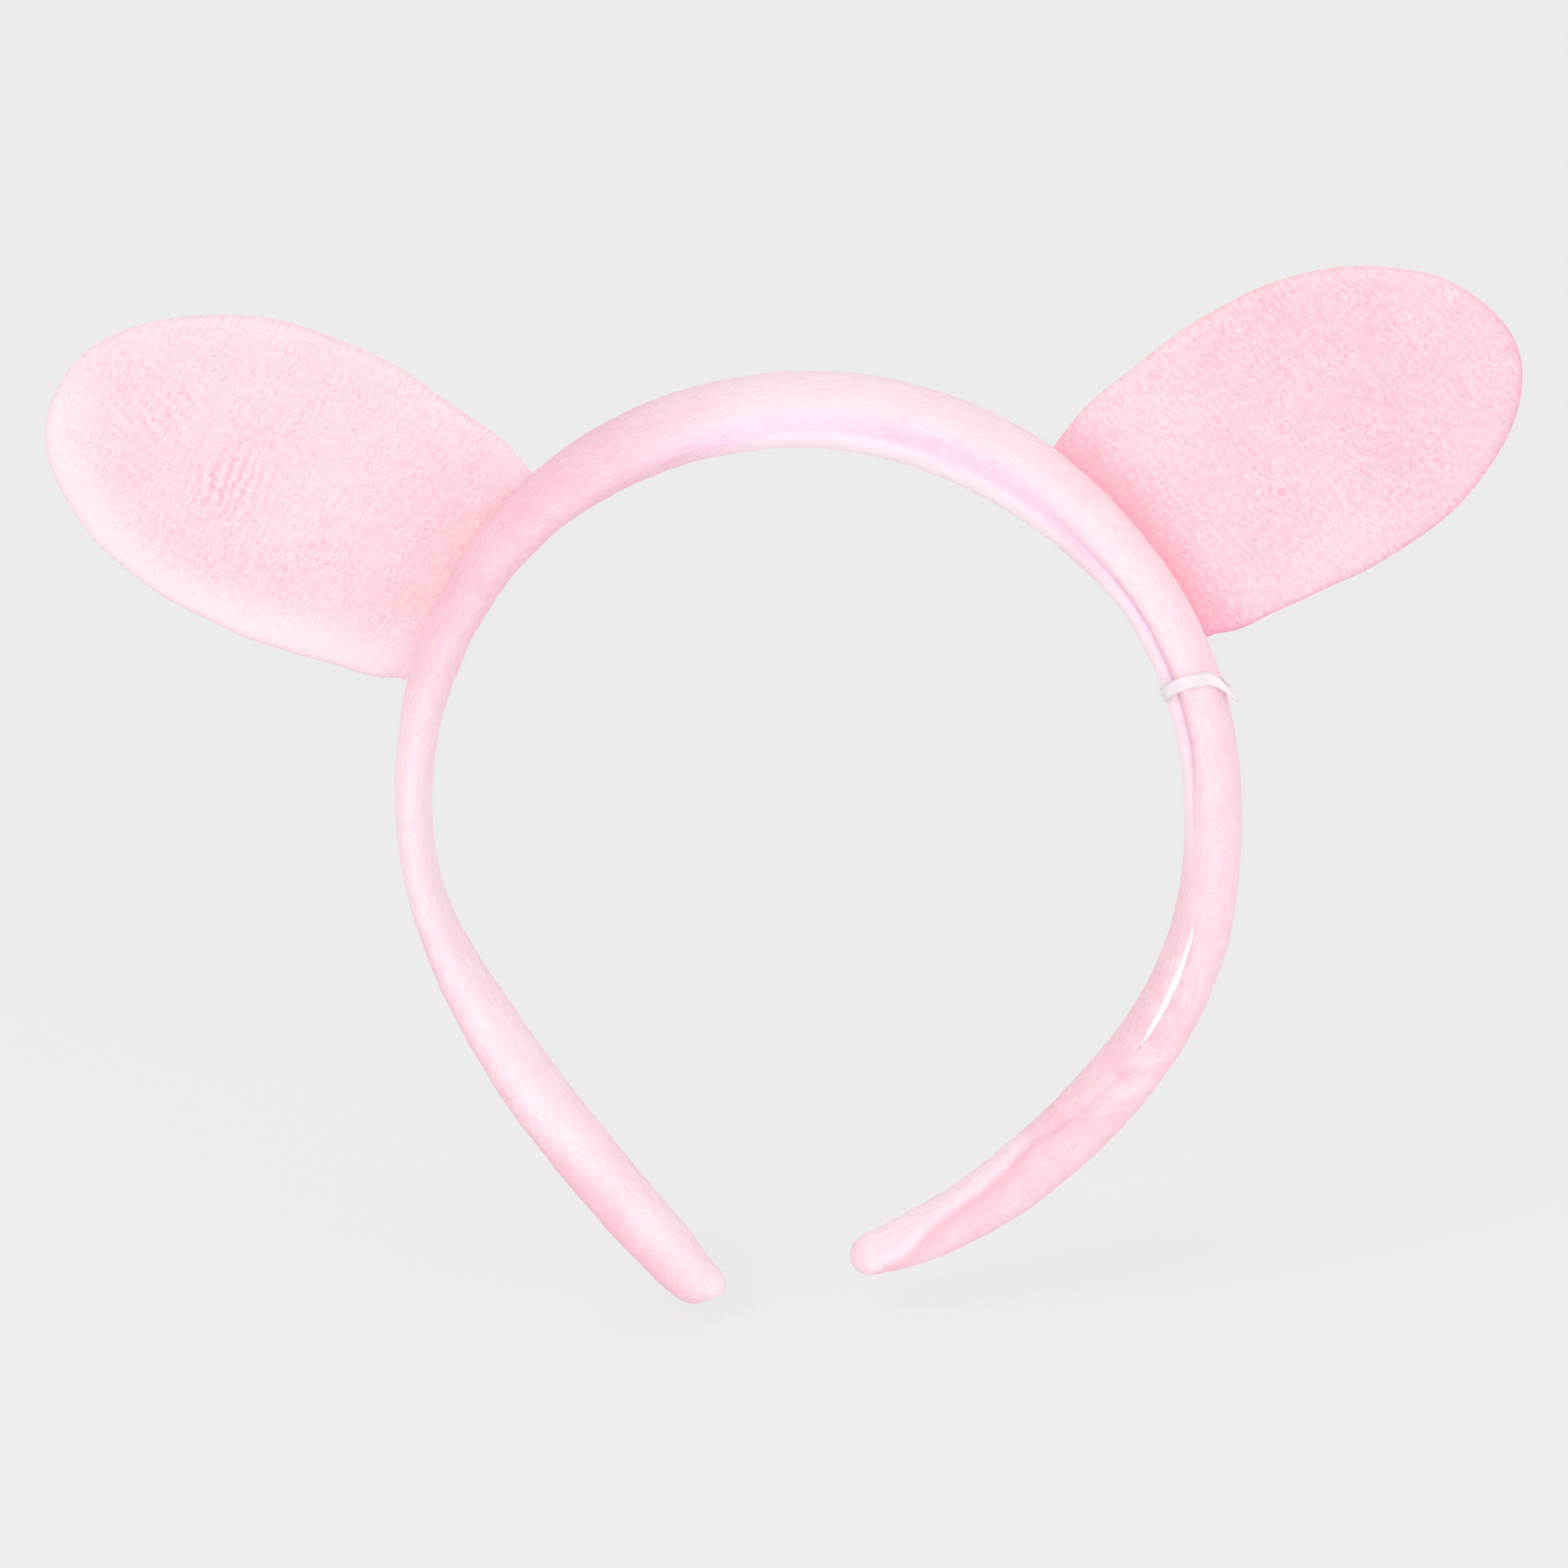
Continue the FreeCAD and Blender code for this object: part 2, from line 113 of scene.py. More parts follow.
chord = np.r_[0, np.cumsum(np.hypot(*np.diff(STATIONS[:, :2], axis=0).T))]
fx, fz = spline3(chord, STATIONS[:, 0]), spline3(chord, STATIONS[:, 1])
fine = np.linspace(0, chord[-1], 6001)
px, pz = fx(fine), fz(fine)
fine_s = np.r_[0, np.cumsum(np.hypot(np.diff(px), np.diff(pz)))]
LENGTH = fine_s[-1]
knot_s = np.interp(chord, fine, fine_s)
width, thick, roll = (monotone(knot_s, STATIONS[:, k]) for k in (2, 3, 4))


def line(s):
    """Centre points and outward normals, n x 3 each."""
    s = np.asarray(s, float)
    c = np.interp(s, fine_s, fine)
    d = 0.05
    tx, tz = fx(c + d) - fx(c - d), fz(c + d) - fz(c - d)
    l = np.hypot(tx, tz)
    z = np.zeros_like(tx)
    return np.stack([fx(c), z, fz(c)], -1), np.stack([-tz / l, z, tx / l], -1)


def frames(s):
    p, n = line(s)
    r = np.radians(roll(s))[..., None]
    y = np.array([0, 1.0, 0])
    return p, n * np.cos(r) - y * np.sin(r), y * np.cos(r) + n * np.sin(r)


def s_near(x, z):
    return fine_s[np.argmin((px - x) ** 2 + (pz - z) ** 2)]


def smooth(a, b, x):
    t = np.clip((x - a) / (b - a), 0, 1)
    return t * t * (3 - 2 * t)


def bell(x, c, w):
    return np.exp(-((x - c) / w) ** 2)


def fbm(pts, scale, octaves=3, seed=0.0):
    """Smooth noise at each point, about -1 to 1; scale is the feature size in mm."""
    out = np.empty(len(pts))
    q = pts / scale + seed
    for i, v in enumerate(q):
        out[i] = noise.fractal(v, 0.6, 2.0, octaves)
    return out


def wob(x, scale, seed):
    """One-dimensional smooth wander, about -1 to 1."""
    x = np.asarray(x, float)
    return np.array([noise.noise((v / scale, seed, seed * 1.7)) for v in x.ravel()]).reshape(x.shape) * 1.8


# ------------------------------------------------------------------ mesh helpers
def new_mesh(name, verts, faces, uv=None, smooth_shade=True):
    me = bpy.data.meshes.new(name)
    me.from_pydata([tuple(v) for v in np.asarray(verts) * MM], [], faces)
    me.update()
    if uv is not None:
        layer = me.uv_layers.new(name="grain")
        idx = np.empty(len(me.loops), int)
        me.loops.foreach_get("vertex_index", idx)
        layer.data.foreach_set("uv", np.asarray(uv, np.float32)[idx].ravel())
    if smooth_shade:
        me.polygons.foreach_set("use_smooth", [True] * len(me.polygons))
    ob = bpy.data.objects.new(name, me)
    bpy.context.scene.collection.objects.link(ob)
    return ob


def outward(ob):
    bm = bmesh.new()
    bm.from_mesh(ob.data)
    bmesh.ops.recalc_face_normals(bm, faces=bm.faces)
    bm.to_mesh(ob.data)
    bm.free()
    return ob


def tube(grid, closed_ends=True):
    """Faces of a tube of rings; grid is (rings, points)."""
    r, m = grid
    f = [(i * m + j, i * m + (j + 1) % m, (i + 1) * m + (j + 1) % m, (i + 1) * m + j)
         for i in range(r - 1) for j in range(m)]
    return f


# ------------------------------------------------------------------ materials
def node(nt, kind, x=0, y=0, **props):
    n = nt.nodes.new(kind)
    n.location = (x, y)
    for k, v in props.items():
        setattr(n, k, v)
    return n


def plush(name, light, mid, deep, wale=1.35, course=1.05, knit=0.45, sheen=0.12, sheen_tint=(1, 0.90, 0.95, 1),
          bump=0.6, blotch=13.0, nap=0.28, rough=0.94, contrast=1.0):
    """Short-pile knitted plush: V-shaped stitch rows, clumped fibres, brushed patches.

    One per-point attribute shifts the pile darker or lighter with painted shade, painted highlights and random pile
    tone; another multiplies in a lavender cast, a painted lavender light.
    """
    mat = bpy.data.materials.new(name)
    mat.use_nodes = True
    nt = mat.node_tree
    nt.nodes.clear()
    L = nt.links.new
    out = node(nt, "ShaderNodeOutputMaterial", 1300)
    bsdf = node(nt, "ShaderNodeBsdfPrincipled", 1000)
    L(bsdf.outputs[0], out.inputs[0])
    uv = node(nt, "ShaderNodeUVMap", -2200, uv_map="grain")
    obj = node(nt, "ShaderNodeTexCoord", -2200, -500)

    def mth(op, a, b=0.0, x=0, y=0):
        m = node(nt, "ShaderNodeMath", x, y, operation=op)
        for i, v in enumerate((a, b)):
            if isinstance(v, (int, float)):
                m.inputs[i].default_value = v
            else:
                L(v, m.inputs[i])
        return m.outputs[0]

    def noise_tex(vec, scale, detail, x, y, rough_=0.55, dist=0.0):
        t = node(nt, "ShaderNodeTexNoise", x, y)
        t.inputs["Scale"].default_value = scale
        t.inputs["Detail"].default_value = detail
        t.inputs["Roughness"].default_value = rough_
        t.inputs["Distortion"].default_value = dist
        L(vec, t.inputs["Vector"])
        return t

    # the knit wanders: rows aren't ruled lines
    warp = noise_tex(uv.outputs[0], 0.34, 2.0, -2000, 250)
    wv = node(nt, "ShaderNodeVectorMath", -1800, 250, operation="SCALE")
    wv.inputs["Scale"].default_value = 3.4
    L(warp.outputs["Color"], wv.inputs[0])
    add = node(nt, "ShaderNodeVectorMath", -1650, 150, operation="ADD")
    L(uv.outputs[0], add.inputs[0])
    L(wv.outputs[0], add.inputs[1])
    sep = node(nt, "ShaderNodeSeparateXYZ", -1500, 150)
    L(add.outputs[0], sep.inputs[0])
    # V stitches: courses along u, legs slant either way across each wale
    fr = mth("FRACT", mth("MULTIPLY", sep.outputs[1], 1.0 / wale, -1350, 0), 0.0, -1250, 0)
    leg = mth("MULTIPLY", mth("ABSOLUTE", mth("SUBTRACT", fr, 0.5, -1150, 0), 0.0, -1050, 0), 0.62, -950, 0)
    ph = mth("ADD", mth("MULTIPLY", sep.outputs[0], 1.0 / course, -1350, 200), leg, -850, 100)
    sin_ = mth("SINE", mth("MULTIPLY", ph, 2 * math.pi, -750, 100), 0.0, -650, 100)
    groove = mth("MULTIPLY", mth("COSINE", mth("MULTIPLY", fr, 2 * math.pi, -1050, -150), 0.0, -950, -150), 0.22, -850, -150)
    stitch = mth("ADD", mth("MULTIPLY", mth("SUBTRACT", sin_, groove, -550, 50), 0.5, -480, 50), 0.5, -400, 50)
    # fibres and clumps
    fm = node(nt, "ShaderNodeMapping", -2000, -100)
    fm.inputs["Scale"].default_value = (0.5, 1.0, 1.0)
    fm.inputs["Rotation"].default_value = (0, 0, math.radians(28))
    L(uv.outputs[0], fm.inputs[0])
    fib = noise_tex(fm.outputs[0], 3.1, 3.0, -1700, -300, 0.65)
    clump = noise_tex(fm.outputs[0], 1.15, 3.0, -1700, -450, 0.6, 0.5)
    fade = noise_tex(uv.outputs[0], 0.16, 2.0, -1700, -600)
    # brushed patches, tens of millimetres
    mp = node(nt, "ShaderNodeMapping", -2000, -800)
    mp.inputs["Scale"].default_value = (1000 / blotch,) * 3
    L(obj.outputs["Object"], mp.inputs[0])
    patch = noise_tex(mp.outputs[0], 1.0, 3.0, -1700, -800)
    # the knit shows through more where the pile is thin
    fade_r = node(nt, "ShaderNodeMapRange", -1500, -600)
    fade_r.inputs["From Min"].default_value, fade_r.inputs["From Max"].default_value = 0.35, 0.62
    fade_r.inputs["To Min"].default_value, fade_r.inputs["To Max"].default_value = 0.35, 1.0
    L(fade.outputs["Fac"], fade_r.inputs["Value"])
    stroke = mth("POWER", mth("SUBTRACT", 1.0, stitch, -330, 50), 2.6, -290, 50)
    gaps = node(nt, "ShaderNodeMapRange", -1500, -300)
    gaps.inputs["From Min"].default_value, gaps.inputs["From Max"].default_value = 0.36, 0.60
    gaps.inputs["To Min"].default_value, gaps.inputs["To Max"].default_value = 0.15, 1.0
    L(fib.outputs["Fac"], gaps.inputs["Value"])
    kn = mth("MULTIPLY", mth("SUBTRACT", 0.28, mth("MULTIPLY", stroke, gaps.outputs[0], -270, 0), -250, 0),
             mth("MULTIPLY", fade_r.outputs[0], knit, -1300, -600), -150, 0)
    cl = mth("MULTIPLY", mth("SUBTRACT", clump.outputs["Fac"], 0.5, -1300, -450), 1.25, -1150, -450)
    fi = mth("MULTIPLY", mth("SUBTRACT", fib.outputs["Fac"], 0.5, -1300, -300), 0.85, -1150, -300)
    grain = mth("ADD", mth("ADD", cl, fi, -1000, -380), kn, 0, -50)
    height = mth("ADD", grain, 0.5, 120, -50)
    pt = mth("MULTIPLY", mth("SUBTRACT", patch.outputs["Fac"], 0.5, -1300, -800), nap, -1150, -800)
    # painted shade and painted highlights, with random pile tone, shift the ramp's input
    tone = node(nt, "ShaderNodeAttribute", -300, -500, attribute_name="tone")
    tn = mth("MULTIPLY", tone.outputs["Fac"], 0.20, -100, -500)
    shade = mth("ADD", mth("ADD", mth("MULTIPLY", grain, 0.42 * contrast, 250, 0), pt, 350, -100),
                mth("ADD", tn, 0.5, 50, -400), 450, -150)
    ramp = node(nt, "ShaderNodeValToRGB", 560, 100)
    el = ramp.color_ramp.elements
    el[0].position, el[0].color = 0.30, (*deep, 1)
    el[1].position, el[1].color = 0.70, (*light, 1)
    e = el.new(0.5)
    e.color = (*mid, 1)
    L(shade, ramp.inputs[0])
    # painted lavender light: a per-point amount multiplies the colour towards lavender where lavender fill light would
    # fall
    cool = node(nt, "ShaderNodeAttribute", 500, -500, attribute_name="cool")
    mix = node(nt, "ShaderNodeMix", 820, 100, data_type="RGBA", blend_type="MULTIPLY")
    L(cool.outputs["Fac"], mix.inputs["Factor"])
    L(ramp.outputs[0], mix.inputs[6])
    mix.inputs[7].default_value = (0.96, 0.90, 1.0, 1)
    L(mix.outputs[2], bsdf.inputs["Base Color"])
    rr = node(nt, "ShaderNodeMapRange", 700, -250)
    rr.inputs["To Min"].default_value = rough + 0.04
    rr.inputs["To Max"].default_value = rough - 0.12
    L(height, rr.inputs["Value"])
    L(rr.outputs[0], bsdf.inputs["Roughness"])
    bp = node(nt, "ShaderNodeBump", 800, -450)
    bp.inputs["Strength"].default_value = bump
    bp.inputs["Distance"].default_value = 0.0006
    L(height, bp.inputs["Height"])
    L(bp.outputs[0], bsdf.inputs["Normal"])
    bsdf.inputs["Sheen Weight"].default_value = sheen
    bsdf.inputs["Sheen Roughness"].default_value = 0.5
    bsdf.inputs["Sheen Tint"].default_value = sheen_tint
    bsdf.inputs["Specular IOR Level"].default_value = 0.12
    return mat


def plastic(name, base, dark, rough=0.32):
    mat = bpy.data.materials.new(name)
    mat.use_nodes = True
    nt = mat.node_tree
    bsdf = nt.nodes["Principled BSDF"]
    tc = node(nt, "ShaderNodeTexCoord", -900)
    nz = node(nt, "ShaderNodeTexNoise", -700)
    nz.inputs["Scale"].default_value = 260.0
    nz.inputs["Detail"].default_value = 4.0
    nt.links.new(tc.outputs["Object"], nz.inputs["Vector"])
    ramp = node(nt, "ShaderNodeValToRGB", -450)
    ramp.color_ramp.elements[0].position, ramp.color_ramp.elements[0].color = 0.3, (*dark, 1)
    ramp.color_ramp.elements[1].position, ramp.color_ramp.elements[1].color = 0.7, (*base, 1)
    nt.links.new(nz.outputs["Fac"], ramp.inputs[0])
    nt.links.new(ramp.outputs[0], bsdf.inputs["Base Color"])
    mr = node(nt, "ShaderNodeMapRange", -450, -300)
    mr.inputs["To Min"].default_value, mr.inputs["To Max"].default_value = rough - 0.06, rough + 0.12
    nt.links.new(nz.outputs["Fac"], mr.inputs["Value"])
    nt.links.new(mr.outputs[0], bsdf.inputs["Roughness"])
    bp = node(nt, "ShaderNodeBump", -250, -500)
    bp.inputs["Strength"].default_value = 0.12
    bp.inputs["Distance"].default_value = 0.0001
    nt.links.new(nz.outputs["Fac"], bp.inputs["Height"])
    nt.links.new(bp.outputs[0], bsdf.inputs["Normal"])
    bsdf.inputs["Specular IOR Level"].default_value = 0.5
    return mat


def film(name):
    """Clear flexible film with faint haze and drawn lines."""
    mat = bpy.data.materials.new(name)
    mat.use_nodes = True
    nt = mat.node_tree
    bsdf = nt.nodes["Principled BSDF"]
    uv = node(nt, "ShaderNodeUVMap", -1100, uv_map="grain")
    mp = node(nt, "ShaderNodeMapping", -900)
    mp.inputs["Scale"].default_value = (0.25, 3.0, 1)
    nt.links.new(uv.outputs[0], mp.inputs[0])
    nz = node(nt, "ShaderNodeTexNoise", -700)
    nz.inputs["Scale"].default_value = 1.6
    nz.inputs["Detail"].default_value = 3.0
    nt.links.new(mp.outputs[0], nz.inputs["Vector"])
    ramp = node(nt, "ShaderNodeValToRGB", -450)
    ramp.color_ramp.elements[0].color = (0.96, 0.92, 0.99, 1)
    ramp.color_ramp.elements[1].color = (1.0, 0.985, 0.995, 1)
    nt.links.new(nz.outputs["Fac"], ramp.inputs[0])
    nt.links.new(ramp.outputs[0], bsdf.inputs["Base Color"])
    mr = node(nt, "ShaderNodeMapRange", -450, -300)
    mr.inputs["To Min"].default_value, mr.inputs["To Max"].default_value = 0.16, 0.38
    nt.links.new(nz.outputs["Fac"], mr.inputs["Value"])
    nt.links.new(mr.outputs[0], bsdf.inputs["Roughness"])
    al = node(nt, "ShaderNodeMapRange", -450, -600)
    al.inputs["To Min"].default_value, al.inputs["To Max"].default_value = 0.50, 0.66
    nt.links.new(nz.outputs["Fac"], al.inputs["Value"])
    nt.links.new(al.outputs[0], bsdf.inputs["Alpha"])
    bp = node(nt, "ShaderNodeBump", -250, -500)
    bp.inputs["Strength"].default_value = 0.10
    bp.inputs["Distance"].default_value = 0.0001
    nt.links.new(nz.outputs["Fac"], bp.inputs["Height"])
    nt.links.new(bp.outputs[0], bsdf.inputs["Normal"])
    bsdf.inputs["IOR"].default_value = 1.46
    bsdf.inputs["Specular IOR Level"].default_value = 0.5
    return mat


M_BAND = plush("band_plush", (0.985, 0.835, 0.88), (0.975, 0.745, 0.81), (0.945, 0.565, 0.645),
               wale=1.5, course=1.2, knit=0.14, bump=0.30, nap=0.12, contrast=0.50)
M_LINING = plush("lining_plush", (0.985, 0.83, 0.875), (0.975, 0.74, 0.805), (0.945, 0.56, 0.64),
                 wale=1.5, course=1.2, knit=0.14, bump=0.30, nap=0.12, contrast=0.50)
M_EAR = plush("ear_plush", (1.0, 0.78, 0.82), (0.975, 0.655, 0.70), (0.95, 0.47, 0.545),
              wale=1.45, course=1.2, knit=0.66, bump=0.30, nap=0.12, contrast=0.62)
M_THREAD = plush("pink_thread", (1.0, 0.72, 0.80), (0.96, 0.62, 0.72), (0.88, 0.5, 0.62), wale=0.3, course=0.3, bump=0.3)
M_CORE = plastic("white_strip", (0.985, 0.98, 0.99), (0.955, 0.95, 0.965), rough=0.42)
M_FOAM = plush("soft_foam", (0.95, 0.94, 0.93), (0.92, 0.91, 0.90), (0.85, 0.84, 0.84), sheen=0.0, bump=0.4, knit=0.0)
M_FILM = film("clear_film")


def give(ob, mat):
    ob.data.materials.clear()
    ob.data.materials.append(mat)


def paint(ob, **layers):
    """Per-point numbers that the plush reads: painted light and shade with random pile tone, and a painted lavender
    light.
    """
    for name, values in layers.items():
        at = ob.data.attributes.new(name, "FLOAT", "POINT")
        at.data.foreach_set("value", np.asarray(values, np.float32).ravel())


# ------------------------------------------------------------------ band skins
FRONT_SEAM = [(0, -120), (152.4, -133), (167.4, -121), (180.4, -103), (192.4, -82),
              (202.4, -76), (213.4, -79), (234.4, -85), (249.4, -98), (264.4, -110),
              (278.4, -114), (292.4, -119), (304.4, -118), (313.4, -114), (319.4, -116),
              (324.4, -126), (332.4, -137), (338.4, -142), (345.4, -143), (352.4, -147),
              (358.4, -156), (366.4, -174), (373.4, -185), (406, -185)]
FRONT = monotone([q[0] for q in FRONT_SEAM], [q[1] for q in FRONT_SEAM])
BACK = 125.0
PILE = 1.35
SLIT_MID, SLIT_HALF, SLIT_W = 331.2, 12.6, 1.55

# creases pressed into the plush: section angle along the band
FOLD_S = np.array([366, 371, 374, 380, 386, 392, 397, 403])
FOLD_DEG = np.array([-178, -172, -164, -159, -155, -138, -104, -84])
FOLD = monotone(FOLD_S, FOLD_DEG)


def slit(s):
    x = (np.asarray(s) - SLIT_MID) / SLIT_HALF
    return np.where(np.abs(x) < 1, SLIT_W * np.cos(np.clip(x, -1, 1) * math.pi / 2) ** 1.3, 0.0)


def joint_depth(s):
    """How deep the front joint is pressed in, and how wide its trough is."""
    d = 0.80 * smooth(150, 196, s) * (1 - smooth(286, 302, s)) + 0.36 * smooth(345, 350, s) * (1 - smooth(365, 376, s))
    w = 3.0 - 1.7 * smooth(222, 264, s)
    return d, w


def joint_lip(s):
    """Depth of the sharp fold at the joint itself."""
    return 0.30 * smooth(240, 262, s) * (1 - smooth(284, 296, s)) \
        + 0.12 * smooth(345.5, 350, s) * (1 - smooth(362, 370, s)) + 0.60 * np.clip(slit(s) / 0.6, 0, 1)


def band_surface(s, deg, x):
    """Relief (mm), painted light and shade with pile tone, and painted lavender light on the band; x is the distance
    from the front joint.
    """
    d, w = joint_depth(s)
    r = -d * np.exp(-(x / w) ** 2)
    tone = 0 * s
    # painted lavender light and painted shade in the front joint's trough
    cool = 1.0 * d / 0.8 * np.exp(-(x / (w * 0.9)) ** 2)
    tone = tone - 0.28 * smooth(196, 214, s) * (1 - smooth(282, 298, s)) * np.exp(-((x - 0.6) / (w * 0.8)) ** 2)
    rad = np.hypot(thick(s) / 2 * np.sin(np.radians(deg)), width(s) / 2 * np.cos(np.radians(deg)))
    # soft roll beside the trough
    r = r + 0.22 * smooth(185, 225, s) * (1 - smooth(290, 305, s)) * bell(x, 5.0, 2.2)
    # pressed fold along the lower right arm, with a fuller lip on its inner side; painted highlight on the lip and
    # painted shade just past the crease, with painted lavender light on the lip
    q = np.radians(deg - FOLD(s)) * rad
    on = smooth(366, 372, s) * (1 - smooth(400, 404, s))
    r = r + on * (-0.34 * np.exp(-(q / 0.9) ** 2) + 0.30 * np.where(q < 0, np.exp(-((q + 2.2) / 1.8) ** 2), 0) - 0.12 * np.exp(-((q - 1.8) / 1.4) ** 2))
    tone = tone + on * (1.10 * (1 - smooth(-1.9, 0.6, q)) - 0.65 * np.exp(-((q - 0.9) / 1.1) ** 2))
    cool = cool + on * 0.3 * (1 - smooth(-1.9, 0.6, q))
    # pull lines either side of the gaping seam, with painted light and shade following their ridges
    pull = np.sin((s - SLIT_MID) * 1.15 + 2.2 * np.sin(s * 0.21)) * np.exp(-(x / 3.0) ** 2) * bell(s, SLIT_MID + 10, 16)
    r = r + 0.10 * pull
    tone = tone + 0.25 * pull
    # slanting drag wrinkles under the seam's end, with painted light and shade following them
    for c0, k, amp in ((352.0, 2.1, 0.30), (358.5, 1.7, -0.20), (346.0, 1.4, 0.18)):
        line_ = (s - c0) + np.radians(deg + 140) * rad * 0.9
        m = bell(deg, -118, 44)
        r = r + amp * np.exp(-(line_ / k) ** 2) * m
        tone = tone + amp * 1.3 * np.exp(-(line_ / k) ** 2) * m
    # painted highlight on a lit ridge and painted shade on a darker outer strip down the left arm, with painted
    # lavender light on the face beside the strip
    ridge = np.interp(s, [0, 20, 40, 55, 70, 100], [-160, -157, -146, -136, -130, -120])
    left = 1 - smooth(66, 100, s)
    r = r + 0.22 * left * bell(deg, ridge, 20)
    edge = np.interp(s, [0, 10, 25, 40, 52, 65, 78, 92], [-128, -132, -131, -124, -119, -114, -100, -62])
    strip = (0.50 + 0.50 * smooth(0, 1, (66 - s) / 40)) * (0.62 + 0.38 * smooth(0, 1, (s - 4) / 12))
    tone = tone + left * (0.34 * bell(deg, ridge, 22) - 1.30 * smooth(edge - 26, edge + 58, deg) * strip)
    cool = cool + 0.15 * left * (1 - smooth(edge - 20, edge, deg))
    # overall tone along the band: darker on the upper left arm and down the right side
    tone = tone + np.interp(s, [0, 60, 105, 125, 150, 172, 192, 235, 262, 285, 305, 345, 380, 404],
                            [-0.10, 0.10, 0.12, -0.55, -0.80, -0.70, 0.15, 0.05, -0.05, -0.30, -0.36, -0.60, -0.72, -0.45])
    # painted lavender light on the upper left arm
    cool = cool + 0.35 * smooth(115, 140, s) * (1 - smooth(172, 196, s))
    # painted light: the lining side is lighter over the top, away from the front joint, where it catches bounced light,
    # and lighter along the right arm's inner side, lifted against its shade
    tone = tone + 1.50 * smooth(184, 200, s) * (1 - smooth(236, 256, s)) * (1 - smooth(FRONT(s) - 26, FRONT(s) - 4, deg))
    tone = tone + 1.3 * smooth(248, 262, s) * (1 - smooth(300, 312, s)) * (1 - smooth(FRONT(s) - 6, FRONT(s), deg))
    # small soft dents from the foam and the thread inside
    r = r + 0.10 * np.sin(s * 0.63 + 2 * np.sin(s * 0.13)) * bell(deg, -100, 60) * (0.35 + 0.65 * smooth(300, 330, s) + 0.3 * (1 - smooth(60, 120, s)))
    return r, tone, cool


